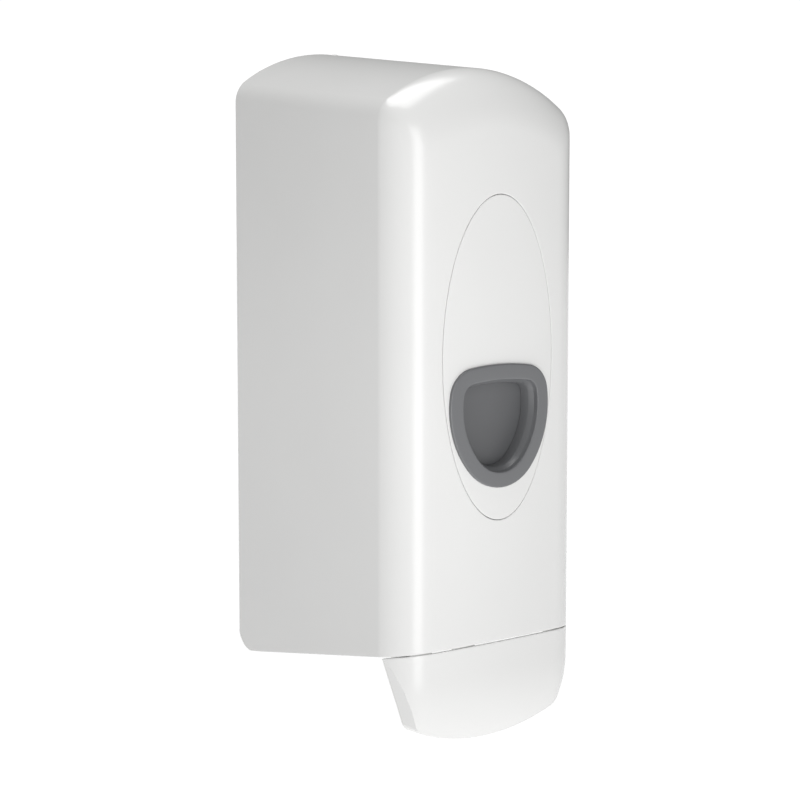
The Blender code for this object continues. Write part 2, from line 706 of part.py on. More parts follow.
def make_reservoir_lid(frosted):
    """A flap whose knuckle turns on the pin, with a finger tab at its front."""
    low, high = (-28.0, -67.5), (28.0, LID_HINGE_Y - 3.6)
    outline = rounded_rectangle(low, high, 5.0, 4)
    lid = prism("reservoir_lid", outline, TANK_TOP + 2.2, TANK_TOP + 4.4, "Z", frosted)
    join(lid, box("lid_tab", (-8.0, -70.5, TANK_TOP + 2.2), (8.0, -66.0, TANK_TOP + 3.8)))
    knuckle = [(LID_HINGE_Y - 5.0, TANK_TOP + 2.4), (LID_HINGE_Y - 5.0, TANK_TOP + 4.2)]
    for i in range(9):
        angle = 3 * pi / 4 - 5 * pi / 4 * i / 8
        knuckle.append((LID_HINGE_Y + 2.7 * cos(angle), LID_HINGE_Z + 2.7 * sin(angle)))
    join(lid, prism("lid_knuckle", knuckle, -19.6, 19.6, "X"))
    cut(lid, disc("lid_knuckle_bore", 1.5, -30.0, 30.0, (0, LID_HINGE_Y, LID_HINGE_Z), "X", 16))
    return lid


def make_lid_seal(rubber):
    low, high = (-27.0, -66.5), (27.0, LID_HINGE_Y - 4.2)
    outline = rounded_rectangle(low, high, 4.5, 4)
    seal = prism("lid_seal", outline, TANK_TOP + GAP, TANK_TOP + 1.9, "Z", rubber)
    inner = rounded_rectangle((low[0] + 2.2, low[1] + 2.2), (high[0] - 2.2, high[1] - 2.2), 2.5, 4)
    cut(seal, prism("lid_seal_inside", inner, 60.0, 90.0, "Z"))
    return seal


def make_lid_pin(steel):
    return disc("lid_hinge_pin", 1.2, -24.0, 24.0, (0, LID_HINGE_Y, LID_HINGE_Z), "X", 12, steel)


def make_pump(white, rubber, steel):
    centre = (0, PUMP_Y)
    flange_top = NECK_END - 1.8
    flange_low = flange_top - 1.7
    barrel = (
        (BARREL - 0.8, BARREL_TOP),
        (BARREL, BARREL_TOP - 0.8),
        (BARREL, flange_top),
        (NECK - 0.8, flange_top),
        (NECK - 0.8, flange_low),
        (BARREL, flange_low),
        (BARREL, BARREL_END),
        (BORE, BARREL_END),
        (BORE, BARREL_TOP - 3.0),
        (1.6, BARREL_TOP - 3.0),
        (1.6, BARREL_TOP),
    )
    stack("pump_barrel", barrel, centre, 32, white)
    nut = (
        (NECK + 3.6, -83.9),
        (NECK + 3.6, flange_low - GAP - 2.4),
        (BARREL + 0.4, flange_low - GAP - 2.4),
        (BARREL + 0.4, flange_low - GAP),
        (NECK + 0.4, flange_low - GAP),
        (NECK + 0.4, -83.9),
    )
    stack("pump_nut", nut, centre, 32, white)
    ring("neck_gasket", BARREL + 0.3, NECK - 1.0, flange_top + 0.2, NECK_END - 0.2, centre, 32, rubber)
    valve = (
        (0, BARREL_TOP + 1.9),
        (1.1, BARREL_TOP + 1.9),
        (2.6, BARREL_TOP + 0.3),
        (1.2, BARREL_TOP + 0.3),
        (1.2, BARREL_TOP - 3.3),
        (4.8, BARREL_TOP - 3.5),
        (4.2, BARREL_TOP - 4.2),
        (0, BARREL_TOP - 4.6),
    )
    stack("inlet_valve", valve, centre, 16, rubber)
    cap = (
        (BARREL + 1.6, BARREL_END + 3.0),
        (BARREL + 1.6, BARREL_END - 2.6),
        (STEM + 0.4, BARREL_END - 2.6),
        (STEM + 0.4, BARREL_END - GAP),
        (BARREL + 0.3, BARREL_END - GAP),
        (BARREL + 0.3, BARREL_END + 3.0),
    )
    stack("barrel_cap", cap, centre, 32, white)
    piston = (
        (BORE - 1.3, HEAD_Z),
        (BORE - 1.3, HEAD_Z - 1.2),
        (BORE - 2.6, HEAD_Z - 1.2),
        (BORE - 2.6, HEAD_Z - 4.2),
        (BORE - 1.3, HEAD_Z - 4.2),
        (BORE - 1.3, HEAD_Z - 5.4),
        (STEM, HEAD_Z - 5.4),
        (STEM, -130.0),
        (1.5, -130.0),
        (1.5, HEAD_Z),
    )
    stack("pump_piston", piston, centre, 24, white)
    ring("piston_seal", BORE - 2.4, BORE - 0.2, HEAD_Z - 4.0, HEAD_Z - 1.4, centre, 24, rubber)
    nozzle = (
        (6.0, COLLAR_Z + 3.0),
        (14.0, COLLAR_Z + 2.2),
        (14.0, COLLAR_Z),
        (8.6, COLLAR_Z - 0.6),
        (8.0, -140.0),
        (6.2, -149.0),
        (4.4, -149.0),
        (4.4, -132.0),
        (STEM + 0.2, -131.0),
        (STEM + 0.2, COLLAR_Z + 3.0),
    )
    stack("nozzle", nozzle, centre, 32, white)
    duckbill = (
        (4.1, -132.6),
        (4.1, -141.0),
        (2.4, -147.5),
        (1.2, -147.5),
        (2.8, -140.0),
        (2.8, -132.6),
    )
    stack("outlet_valve", duckbill, centre, 20, rubber)
    coil("pump_spring", centre, 5.3, 0.45, BARREL_TOP - 8.0, HEAD_Z + 0.8, 7, steel)


def coil(name, centre, radius, wire, top, bottom, turns, finish):
    """A round-wire helix as a bevelled curve, made a mesh with closed ends."""
    per_turn = 14
    count = turns * per_turn
    rise = bottom + wire, top - wire
    curve = bpy.data.curves.new(name, "CURVE")
    curve.dimensions = "3D"
    curve.bevel_depth = wire * MM
    curve.bevel_resolution = 1
    curve.use_fill_caps = True
    path = curve.splines.new("POLY")
    path.points.add(count)
    for i in range(count + 1):
        angle = 2 * pi * i / per_turn
        x, y = centre[0] + radius * cos(angle), centre[1] + radius * sin(angle)
        z = rise[0] + (rise[1] - rise[0]) * i / count
        path.points[i].co = (x * MM, y * MM, z * MM, 1.0)
    curve.materials.append(finish)
    obj = bpy.data.objects.new(name, curve)
    bpy.context.scene.collection.objects.link(obj)
    return obj


def make_latch(white, steel):
    centre = (0, LATCH_Y)
    button = (
        (0, 137.1),
        (0.9, 137.0),
        (1.7, 136.6),
        (2.0, 136.0),
        (2.0, 128.5),
        (2.8, 128.5),
        (2.8, 126.5),
        (1.6, 126.5),
        (1.6, 108.5),
        (0, 107.9),
    )
    stack("latch_button", button, centre, 20, white)
    coil("latch_spring", centre, 2.2, 0.28, 126.2, 113.3, 8, steel)


def clear_scene():
    for obj in list(bpy.data.objects):
        bpy.data.objects.remove(obj, do_unlink=True)


def main():
    clear_scene()
    white = material("white_abs", "ECECEB", 0.3)
    grey = material("grey_abs", "737475", 0.35)
    smoke = material("smoked_pane", "5C5D5F", 0.2)
    frosted = material("frosted_polyethylene", "DADFDD", 0.4, alpha=0.7)
    acetal = material("white_acetal", "E6E6E2", 0.4)
    rubber = material("grey_silicone", "9A9C9C", 0.6)
    steel = material("stainless_steel", "C6C7C8", 0.25, metallic=1.0)
    make_back_plate(white)
    make_support_shelf(white)
    make_shelf_screws(steel)
    make_reservoir(frosted)
    make_reservoir_lid(frosted)
    make_lid_seal(rubber)
    make_lid_pin(steel)
    make_pump(acetal, rubber, steel)
    make_cover(white)
    make_oval_panel(white)
    make_window_bezel(grey)
    make_window_pane(smoke)
    make_push_lever(white)
    make_lever_yoke(white)
    make_pins(steel)
    make_latch(white, steel)


main()
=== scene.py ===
"""Wall mounted soap dispenser: the finished look, built piece by piece round its working frame.

Everything is in the frame's own place and metres. Shapes are drawn in millimetres and MM turns them to metres
where a mesh is made: X runs across, the wall is the plane Y = 0, the front faces -Y, and +Z is up.
"""

from math import asin, atan2, cos, pi, radians, sin, sqrt

import bmesh
import bpy
from mathutils import Matrix, Vector


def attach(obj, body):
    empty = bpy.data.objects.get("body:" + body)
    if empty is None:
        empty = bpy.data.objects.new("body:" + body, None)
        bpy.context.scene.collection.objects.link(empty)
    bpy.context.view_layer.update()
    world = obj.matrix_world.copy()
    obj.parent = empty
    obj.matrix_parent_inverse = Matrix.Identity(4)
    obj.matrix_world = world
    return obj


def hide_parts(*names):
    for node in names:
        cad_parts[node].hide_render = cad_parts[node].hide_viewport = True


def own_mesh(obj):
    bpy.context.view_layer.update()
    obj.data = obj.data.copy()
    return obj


bl_info = {
    "name": "Wall Mounted Soap Dispenser",
    "version": (1, 0, 0),
    "blender": (4, 5, 0),
    "location": "View3D > Sidebar > Dispenser",
    "description": "Builds the finished pieces of a wall mounted push-lever soap dispenser",
    "category": "Object",
}

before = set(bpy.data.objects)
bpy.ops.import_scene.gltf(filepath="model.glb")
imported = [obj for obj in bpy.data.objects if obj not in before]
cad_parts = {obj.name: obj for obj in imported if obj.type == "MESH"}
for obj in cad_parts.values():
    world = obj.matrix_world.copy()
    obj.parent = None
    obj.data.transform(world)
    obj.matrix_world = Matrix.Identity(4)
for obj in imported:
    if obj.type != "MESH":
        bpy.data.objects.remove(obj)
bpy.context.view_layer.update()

MM = 0.001

# Housing skin, as the frame has it
HALF_WIDTH = 50.5
DEPTH = 124.0
FRONT_RADIUS = 316.0
EDGE = 16.0
FRONT_HALF = HALF_WIDTH - EDGE
SHOULDER = 12.0
ARCH = 80.0
PEAK_AT_WALL = 137.1
TOP_SLOPE = 0.117
FRONT_PEAK = 100.3
FRONT_SHOULDER = 8.0
FRONT_ARCH = 72.0
TOP_EDGE = 17.0
EDGE_WEIGHT = 0.8
CREASE = 2.4  # the rounding aims this far inside the sharp corner
SEAM_FRONT = -115.6
SEAM_SLOPE = 0.1726
SIDE_FOOT = -170.0  # where the sides would end if the sloping lower edge didn't cut them
REAR = -0.4

# Pivots of the cover and of the lever
HINGE_Y, HINGE_Z, HEEL_RADIUS = -10.0, -125.1, 10.0
PIVOT_Y, PIVOT_Z = -106.0, -109.0
PIN_BORE = 2.7

# Oval panel and window
OVAL_HALF, OVAL_RISE, OVAL_Z = 30.15, 68.2, 3.9
OVAL_STEPS = 240
PANEL_LIP, PANEL_LIP_THICK = 3.5, 1.6
WINDOW_CORNERS = ((14.1, -12.0), (0.0, -28.1), (-14.1, -12.0))
WINDOW_RADII = (12.5, 22.3, 12.5)
WINDOW_BULGES = (40.0, 40.0, 110.0)
WINDOW_MIDDLE = (0.0, -18.0)

# Lever
LEVER_FLARE = 0.36
LEVER_TOP = -117.5
LEVER_BOTTOM = -158.4
LEVER_REAR = -107.5
LEVER_TUCK_START = -128.0
LEVER_TUCK = 0.0082
LEVER_CORNER, LEVER_ARCH = 6.0, 98.0

PUMP_Y = -62.0
LATCH_Y = -6.2
LID_HINGE_Y, LID_HINGE_Z = -22.0, 76.5


# ---------------------------------------------------------------- user values


def linear(code):
    """An sRGB hex colour as linear RGBA."""
    channels = [int(code[i : i + 2], 16) / 255 for i in (0, 2, 4)]
    return (*[c / 12.92 if c <= 0.04045 else ((c + 0.055) / 1.055) ** 2.4 for c in channels], 1.0)


def length_value(name, description, millimetres):
    return bpy.props.FloatProperty(
        name=name, description=description, default=millimetres * MM, min=0.0, unit="LENGTH", precision=5
    )


def colour_value(name, description, code):
    return bpy.props.FloatVectorProperty(
        name=name, description=description, default=linear(code), subtype="COLOR", size=4, min=0.0, max=1.0
    )


class DispenserSizes(bpy.types.PropertyGroup):
    """Sizes that shape the mouldings without moving any of them."""

    wall: length_value("Wall", "Thickness of the housing's moulded wall", 2.5)
    edge_round: length_value("Edge rounding", "Rounding on the housing's open edges", 0.25)
    oval_round: length_value("Oval rounding", "Rounding on both sides of the oval joint", 0.22)
    oval_gap: length_value("Oval gap", "Gap between the oval panel and the housing", 0.3)
    seam_gap: length_value("Seam gap", "Gap between the lever and the housing", 0.5)
    lever_round: length_value("Lever rounding", "Rounding along the lever's sides and lower edge", 1.1)
    bezel_rim: length_value("Bezel rim", "Width of the window's flat rim", 6.5)
    bezel_proud: length_value("Bezel height", "How far the rim stands off the oval panel", 1.3)
    recess: length_value("Window recess", "Depth of the window below the front of the housing", 8.0)


class DispenserColours(bpy.types.PropertyGroup):
    """Base colours of the finishes."""

    white: colour_value("Housing", "White ABS of the housing, panel and lever", "E4E4E3")
    grey: colour_value("Bezel", "Grey ABS round the window", "6E6F71")
    smoke: colour_value("Pane", "Smoked pane in the window", "626365")
    frosted: colour_value("Reservoir", "Natural polyethylene of the reservoir", "ECEEED")
    acetal: colour_value("Pump", "Natural acetal of the pump", "E8E8E3")
    silicone: colour_value("Silicone", "Grey silicone of seals and valves", "9A9C9C")
    steel: colour_value("Steel", "Stainless steel of pins, screws and springs", "C6C7C8")
    floor: colour_value("Floor", "Studio floor", "FFFFFF")


def sizes():
    return bpy.context.scene.dispenser_sizes


def millimetres(name):
    return getattr(sizes(), name) / MM


def colours():
    return bpy.context.scene.dispenser_colours


# ---------------------------------------------------------------- finishes


def add(tree, kind, settings=(), links=()):
    """Adds a node. Settings are keyed by socket, or by attribute name where there is no such socket."""
    node = tree.nodes.new(kind)
    for key, value in dict(settings).items():
        if isinstance(key, int) or key in node.inputs:
            node.inputs[key].default_value = value
        else:
            setattr(node, key, value)
    for key, source in dict(links).items():
        tree.links.new(source, node.inputs[key])
    return node


def new_finish(name, colour, **shader_values):
    """An empty finish: its tree, its shader and its Object coordinates in millimetres."""
    made = bpy.data.materials.new(name)
    made.use_nodes = True
    tree = made.node_tree
    tree.nodes.clear()
    shader = add(tree, "ShaderNodeBsdfPrincipled", shader_values)
    shader.inputs["Base Color"].default_value = colour
    add(tree, "ShaderNodeOutputMaterial", links={"Surface": shader.outputs["BSDF"]})
    place = add(tree, "ShaderNodeTexCoord")
    scaled = add(
        tree,
        "ShaderNodeMapping",
        {"Scale": (1 / MM, 1 / MM, 1 / MM)},
        {"Vector": place.outputs["Object"]},
    )
    made.diffuse_color = colour
    return made, tree, shader, scaled.outputs["Vector"]


def vary(tree, source, low, high, start=0.3, end=0.7):
    """Turns a noise value into a number between low and high."""
    spread = add(
        tree,
        "ShaderNodeMapRange",
        {"From Min": start, "From Max": end, "To Min": low, "To Max": high},
        {"Value": source},
    )
    return spread.outputs["Result"]


def tint(tree, source, first, second, shader):
    """Mixes two near colours by a value and feeds the shader's base colour."""
    mixed = add(tree, "ShaderNodeMix", {"data_type": "RGBA"})
    mixed.inputs[6].default_value = first
    mixed.inputs[7].default_value = second
    tree.links.new(source, mixed.inputs["Factor"])
    tree.links.new(mixed.outputs[2], shader.inputs["Base Color"])


def shade_of(colour, factor):
    return (*[c * factor for c in colour[:3]], 1.0)


def bumped(tree, shader, height, distance, strength):
    bump = add(tree, "ShaderNodeBump", {"Distance": distance * MM, "Strength": strength}, {"Height": height})
    tree.links.new(bump.outputs["Normal"], shader.inputs["Normal"])


def moulded_abs(name, colour, roughness, spark=0.1):
    """Injection-moulded ABS from a polished mould.

    The eye gets a clean, slightly soft gloss, a very faint orange peel a few millimetres across, and flow
    clouding that is only just darker than the base colour. The mould's own grain is finer than can be drawn,
    so it is drawn at about half a millimetre.
    """
    made, tree, shader, place = new_finish(
        name, colour, **{"IOR": 1.53, "Roughness": roughness, "Specular IOR Level": 0.5}
    )
    clouds = add(
        tree, "ShaderNodeTexNoise", {"Scale": 0.022, "Detail": 2.0, "Roughness": 0.5}, {"Vector": place}
    ).outputs["Fac"]
    tint(tree, vary(tree, clouds, 0.0, 1.0), shade_of(colour, 0.985), colour, shader)
    fine = {"Scale": 1.9, "Detail": 3.0, "Roughness": 0.6}
    grain = add(tree, "ShaderNodeTexNoise", fine, {"Vector": place})
    tree.links.new(
        vary(tree, grain.outputs["Fac"], roughness - 0.02, roughness + 0.02), shader.inputs["Roughness"]
    )
    peel = add(tree, "ShaderNodeTexNoise", {"Scale": 0.35, "Detail": 1.0}, {"Vector": place})
    both = add(
        tree,
        "ShaderNodeMath",
        {"operation": "MULTIPLY_ADD", 1: 0.22},
        {0: grain.outputs["Fac"], 2: peel.outputs["Fac"]},
    )
    bumped(tree, shader, both.outputs["Value"], 0.03, spark)
    return made


def smoked_polycarbonate(name, colour):
    """Smoked polycarbonate with a satin face: dark, a touch bluish and very slightly uneven."""
    made, tree, shader, place = new_finish(
        name,
        colour,
        **{"IOR": 1.58, "Roughness": 0.42},
    )
    depth = add(tree, "ShaderNodeTexNoise", {"Scale": 0.04, "Detail": 1.0}, {"Vector": place})
    tint(tree, vary(tree, depth.outputs["Fac"], 0.0, 1.0), shade_of(colour, 0.9), colour, shader)
    wave = add(tree, "ShaderNodeTexNoise", {"Scale": 0.12, "Detail": 1.0}, {"Vector": place})
    bumped(tree, shader, wave.outputs["Fac"], 0.02, 0.3)
    return made


def frosted_polyethylene(name, colour):
    """Blow-moulded natural polyethylene: milky and waxy, with faint upright flow streaks."""
    made, tree, shader, place = new_finish(
        name,
        colour,
        **{
            "IOR": 1.51,
            "Roughness": 0.42,
            "Transmission Weight": 0.12,
            "Subsurface Weight": 0.25,
            "Subsurface Scale": 4 * MM,
        },
    )
    shader.inputs["Subsurface Radius"].default_value = (1.0, 1.0, 1.0)
    streaks = add(tree, "ShaderNodeMapping", {"Scale": (0.35, 0.35, 0.02)}, {"Vector": place})
    drawn = streaks.outputs["Vector"]
    flow = add(tree, "ShaderNodeTexNoise", {"Scale": 1.0, "Detail": 3.0}, {"Vector": drawn})
    tint(tree, vary(tree, flow.outputs["Fac"], 0.0, 1.0), shade_of(colour, 0.94), colour, shader)
    frost = add(tree, "ShaderNodeTexNoise", {"Scale": 2.4, "Detail": 2.0}, {"Vector": place})
    tree.links.new(vary(tree, frost.outputs["Fac"], 0.36, 0.5), shader.inputs["Roughness"])
    bumped(tree, shader, frost.outputs["Fac"], 0.04, 0.35)
    return made


def turned_acetal(name, colour):
    """Moulded natural acetal: a dense, creamy white with a silky low gloss and fine rings from the mould."""
    made, tree, shader, place = new_finish(name, colour, **{"IOR": 1.48, "Roughness": 0.36})
    rings = add(
        tree,
        "ShaderNodeTexWave",
        {"Scale": 0.5, "Distortion": 0.6, "Detail": 1.0, "bands_direction": "Z"},
        {"Vector": place},
    )
    cloud = add(tree, "ShaderNodeTexNoise", {"Scale": 0.15, "Detail": 2.0}, {"Vector": place})
    tint(tree, vary(tree, cloud.outputs["Fac"], 0.0, 1.0), shade_of(colour, 0.95), colour, shader)
    tree.links.new(vary(tree, cloud.outputs["Fac"], 0.31, 0.42), shader.inputs["Roughness"])
    bumped(tree, shader, rings.outputs["Fac"], 0.02, 0.3)
    return made


def moulded_silicone(name, colour):
    """Compression-moulded silicone rubber: matt, slightly powdery, with the soft edge glow of rubber."""
    made, tree, shader, place = new_finish(
        name, colour, **{"IOR": 1.41, "Roughness": 0.62, "Sheen Weight": 0.15, "Sheen Roughness": 0.5}
    )
    dust = add(tree, "ShaderNodeTexNoise", {"Scale": 0.9, "Detail": 4.0}, {"Vector": place})
    tint(tree, vary(tree, dust.outputs["Fac"], 0.0, 1.0), shade_of(colour, 0.86), colour, shader)
    tree.links.new(vary(tree, dust.outputs["Fac"], 0.55, 0.72), shader.inputs["Roughness"])
    bumped(tree, shader, dust.outputs["Fac"], 0.05, 0.4)
    return made


def drawn_stainless(name, colour):
    """Drawn stainless steel wire and rod: bright, with hair-fine lines that streak the highlights."""
    made, tree, shader, place = new_finish(name, colour, **{"Metallic": 1.0, "Roughness": 0.24})
    lines = add(tree, "ShaderNodeMapping", {"Scale": (0.15, 3.0, 3.0)}, {"Vector": place})
    fine = {"Scale": 1.0, "Detail": 4.0, "Roughness": 0.7}
    scratch = add(tree, "ShaderNodeTexNoise", fine, {"Vector": lines.outputs["Vector"]})
    tint(tree, vary(tree, scratch.outputs["Fac"], 0.0, 1.0), shade_of(colour, 0.88), colour, shader)
    tree.links.new(vary(tree, scratch.outputs["Fac"], 0.18, 0.34), shader.inputs["Roughness"])
    bumped(tree, shader, scratch.outputs["Fac"], 0.02, 0.4)
    return made


def finish(name):
    """The finish of that name, made the first time it is asked for."""
    if name in bpy.data.materials:
        return bpy.data.materials[name]
    palette = colours()
    makers = {
        "white_moulded_abs": lambda: moulded_abs(name, palette.white[:], 0.25),
        "grey_moulded_abs": lambda: moulded_abs(name, palette.grey[:], 0.33),
        "smoked_polycarbonate": lambda: smoked_polycarbonate(name, palette.smoke[:]),
        "frosted_polyethylene_wall": lambda: frosted_polyethylene(name, palette.frosted[:]),
        "natural_acetal": lambda: turned_acetal(name, palette.acetal[:]),
        "grey_silicone_rubber": lambda: moulded_silicone(name, palette.silicone[:]),
        "drawn_stainless_steel": lambda: drawn_stainless(name, palette.steel[:]),
    }
    return makers[name]()


# ---------------------------------------------------------------- mesh work


def put(name, bm, finish_name, body, replaced, sharp=40.0):
    """Makes a piece of a mesh drawn in millimetres, gives it its finish and fixes it to its body."""
    bmesh.ops.remove_doubles(bm, verts=bm.verts, dist=1e-4)
    bmesh.ops.recalc_face_normals(bm, faces=bm.faces)
    bmesh.ops.scale(bm, vec=(MM, MM, MM), verts=bm.verts)
    mesh = bpy.data.meshes.new(name)
    bm.to_mesh(mesh)
    bm.free()
    mesh.materials.append(finish(finish_name))
    mesh.shade_smooth()
    mesh.set_sharp_from_angle(angle=radians(sharp))
    piece = bpy.data.objects.new(name, mesh)
    bpy.context.scene.collection.objects.link(piece)
    settle(piece, body, replaced)
    return piece


def settle(piece, body, replaced):
    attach(piece, body)
    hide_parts(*replaced)


def solid_from(bm, name):
    """A scratch object in metres from a mesh drawn in millimetres."""
    bmesh.ops.recalc_face_normals(bm, faces=bm.faces)
    bmesh.ops.scale(bm, vec=(MM, MM, MM), verts=bm.verts)
    mesh = bpy.data.meshes.new(name)
    bm.to_mesh(mesh)
    bm.free()
    made = bpy.data.objects.new(name, mesh)
    bpy.context.scene.collection.objects.link(made)
    return made


def evaluated_bmesh(obj):
    """The object's mesh with its modifiers applied, in millimetres, and the object removed."""
    graph = bpy.context.evaluated_depsgraph_get()
    mesh = bpy.data.meshes.new_from_object(obj.evaluated_get(graph))
    bm = bmesh.new()
    bm.from_mesh(mesh)
    bmesh.ops.scale(bm, vec=(1 / MM, 1 / MM, 1 / MM), verts=bm.verts)
    bpy.data.meshes.remove(mesh)
    bpy.data.objects.remove(obj)
    return bm


def bridge(bm, loops, closed=True):
    """Quads between each loop and the next. A loop of one vertex makes triangles."""
    for first, second in zip(loops, loops[1:]):
        count = max(len(first), len(second))
        for i in range(count if closed else count - 1):
            j = (i + 1) % count
            if len(first) == 1:
                bm.faces.new((first[0], second[j], second[i]))
            elif len(second) == 1:
                bm.faces.new((first[i], first[j], second[0]))
            else:
                bm.faces.new((first[i], first[j], second[j], second[i]))


def rounded_profile(points, radius, steps=4):
    """A closed profile of (radius, height) pairs with every corner off the axis rounded."""
    made = []
    count = len(points)
    on_axis = points[0][0] == 0
    for i, corner in enumerate(points):
        if on_axis and i in (0, count - 1):
            made.append(corner)
            continue
        here = Vector(corner)
        before, after = Vector(points[i - 1]) - here, Vector(points[(i + 1) % count]) - here
        reach = min(radius, 0.42 * before.length, 0.42 * after.length)
        start, end = here + before.normalized() * reach, here + after.normalized() * reach
        for k in range(steps + 1):
            t = k / steps
            spot = start * (1 - t) ** 2 + here * 2 * t * (1 - t) + end * t * t
            made.append((spot.x, spot.y))
    return made


def turned(bm, profile, centre, axis="Z", radius=0.3, steps=96):
    """Adds a turned shape from (radius, place along the axis) pairs, closed, or open on the axis."""
    places = {
        "X": lambda a, b, c: (c, centre[1] + a, centre[2] + b),
        "Y": lambda a, b, c: (centre[0] + a, c, centre[2] + b),
        "Z": lambda a, b, c: (centre[0] + a, centre[1] + b, c),
    }
    spot = places[axis]
    loops = []
    for reach, along in rounded_profile(profile, radius):
        if reach == 0:
            loops.append([bm.verts.new(spot(0.0, 0.0, along))])
            continue
        angles = [2 * pi * i / steps for i in range(steps)]
        loops.append([bm.verts.new(spot(reach * cos(a), reach * sin(a), along)) for a in angles])
    bridge(bm, loops if profile[0][0] == 0 else [*loops, loops[0]])


def slab(bm, outline, start, end, axis, soft=0.4, steps=3):
    """Adds a prism with rounded rims. Outline pairs are (y, z) for X, (x, z) for Y and (x, y) for Z."""
    places = {"X": lambda a, b, c: (c, a, b), "Y": lambda a, b, c: (a, c, b), "Z": lambda a, b, c: (a, b, c)}
    sign = 1 if end > start else -1
    loops = []
    levels = []
    for k in range(steps + 1):
        angle = pi / 2 * k / steps
        levels.append((soft * (1 - sin(angle)), start + sign * soft * (1 - cos(angle))))
    levels += [(inset, start + end - place) for inset, place in reversed(levels)]
    for inset, place in levels:
        shrunk = inset_outline(outline, inset)
        loops.append([bm.verts.new(places[axis](a, b, place)) for a, b in shrunk])
    bridge(bm, loops)
    for rim in (loops[0], loops[-1]):
        bmesh.ops.triangle_fill(bm, edges=[bm.edges.get((rim[i - 1], rim[i])) for i in range(len(rim))])


def inset_outline(outline, inset):
    """The outline moved inwards, by the bisector at each corner."""
    if inset == 0:
        return list(outline)
    count = len(outline)
    area = sum(
        outline[i - 1][0] * outline[i][1] - outline[i][0] * outline[i - 1][1] for i in range(count)
    )
    turn = 1 if area > 0 else -1
    moved = []
    for i in range(count):
        here = Vector(outline[i])
        before = (here - Vector(outline[i - 1])).normalized()
        after = (Vector(outline[(i + 1) % count]) - here).normalized()
        normal = Vector((-before.y - after.y, before.x + after.x)) * turn
        if normal.length < 1e-6:
            moved.append(tuple(here))
            continue
        normal.normalize()
        along = max(0.5, normal.dot(Vector((-before.y, before.x)) * turn))
        moved.append(tuple(here + normal * inset / along))
    return moved


def thicken(bm, wall, soft_at, steps=3):
    """Gives an open outer skin its wall. soft_at says how much the rim is rounded at a place."""
    bm.normal_update()
    skin = list(bm.verts)
    faces = list(bm.faces)
    inner, chains = {}, {}
    for vert in skin:
        inner[vert] = vert.co - vert.normal * wall
    rims = [edge for edge in bm.edges if edge.is_boundary]
    for vert in {v for edge in rims for v in edge.verts}:
        ends = [edge.other_vert(vert).co for edge in vert.link_edges if edge.is_boundary]
        outward = vert.normal.cross(ends[1] - ends[0]).normalized()
        middle = sum((face.calc_center_median() for face in vert.link_faces), Vector()) / len(vert.link_faces)
        if outward.dot(vert.co - middle) < 0:
            outward.negate()
        normal = vert.normal.copy()
        soft = soft_at(vert.co)
        chain = [vert]
        for k in range(1, steps + 1):
            angle = pi / 2 * k / steps
            front = vert.co + outward * soft * sin(angle) - normal * soft * (1 - cos(angle))
            chain.append(bm.verts.new(front))
        for k in range(steps):
            angle = pi / 2 * (1 - k / steps)
            back = inner[vert] + outward * soft * sin(angle) + normal * soft * (1 - cos(angle))
            chain.append(bm.verts.new(back))
        chains[vert] = chain
    copies = {vert: bm.verts.new(place) for vert, place in inner.items()}
    for vert, chain in chains.items():
        chain.append(copies[vert])
    for face in faces:
        bm.faces.new([copies[vert] for vert in reversed(face.verts)])
    for edge in rims:
        first, second = chains[edge.verts[0]], chains[edge.verts[1]]
        for k in range(len(first) - 1):
            bm.faces.new((first[k], first[k + 1], second[k + 1], second[k]))


# ---------------------------------------------------------------- housing shape


def half_outline(half, corner, arch, peak, low, u):
    """Right half of an arched outline: u is 0-1 up the side, 1-2 round the shoulder, 2-3 to the middle."""
    arch_z = peak - arch
    corner_x = half - corner
    corner_z = arch_z + sqrt((arch - corner) ** 2 - corner_x**2)
    lean = asin(corner_x / (arch - corner))
    if u <= 1:
        return half, low + (corner_z - low) * u
    if u <= 2:
        angle = (u - 1) * (pi / 2 - lean)
        return corner_x + corner * cos(angle), corner_z + corner * sin(angle)
    angle = lean * (3 - u)
    return arch * sin(angle), arch_z + arch * cos(angle)


def front_y(x, inset=0.0):
    """How far out the shallow cylinder of the front stands at x."""
    radius = FRONT_RADIUS - inset
    return -DEPTH + FRONT_RADIUS - sqrt(radius * radius - x * x)


def conic(start, corner, end, t):
    """A point of the rounding from start to end whose sharp corner would be at corner."""
    a, b, c = (1 - t) ** 2, 2 * t * (1 - t) * EDGE_WEIGHT, t * t
    total = a + b + c
    return [(a * p + b * q + c * r) / total for p, q, r in zip(start, corner, end)]


def seam_z(y):
    return SEAM_FRONT - SEAM_SLOPE * (y + DEPTH)


def lower_edge(y, soft):
    """Height of the housing's lower edge, less its rounding: sloping, with the round heel at the wall."""
    tangent = HINGE_Y - HEEL_RADIUS * sin(asin(SEAM_SLOPE / sqrt(1 + SEAM_SLOPE**2)))
    if y <= tangent:
        return seam_z(y) + soft
    reach = HEEL_RADIUS - soft
    return HINGE_Z - sqrt(max(0.0, reach * reach - min(reach, abs(y - HINGE_Y)) ** 2))


def side_depths(rounding_y, soft):
    """Where the side's columns stand, close together round the heel."""
    first = REAR - soft
    heel = [HINGE_Y + (HEEL_RADIUS - soft) * cos(pi / 2 * k / 9) for k in range(1, 10)]
    near = [first, first - 0.6, *[y for y in heel if y < first - 1.0]]
    last = near[-1]
    spread = [last + (rounding_y - last) * k / 11 for k in range(1, 11)]
    return near + spread + [rounding_y + 2.4, rounding_y + 0.7]


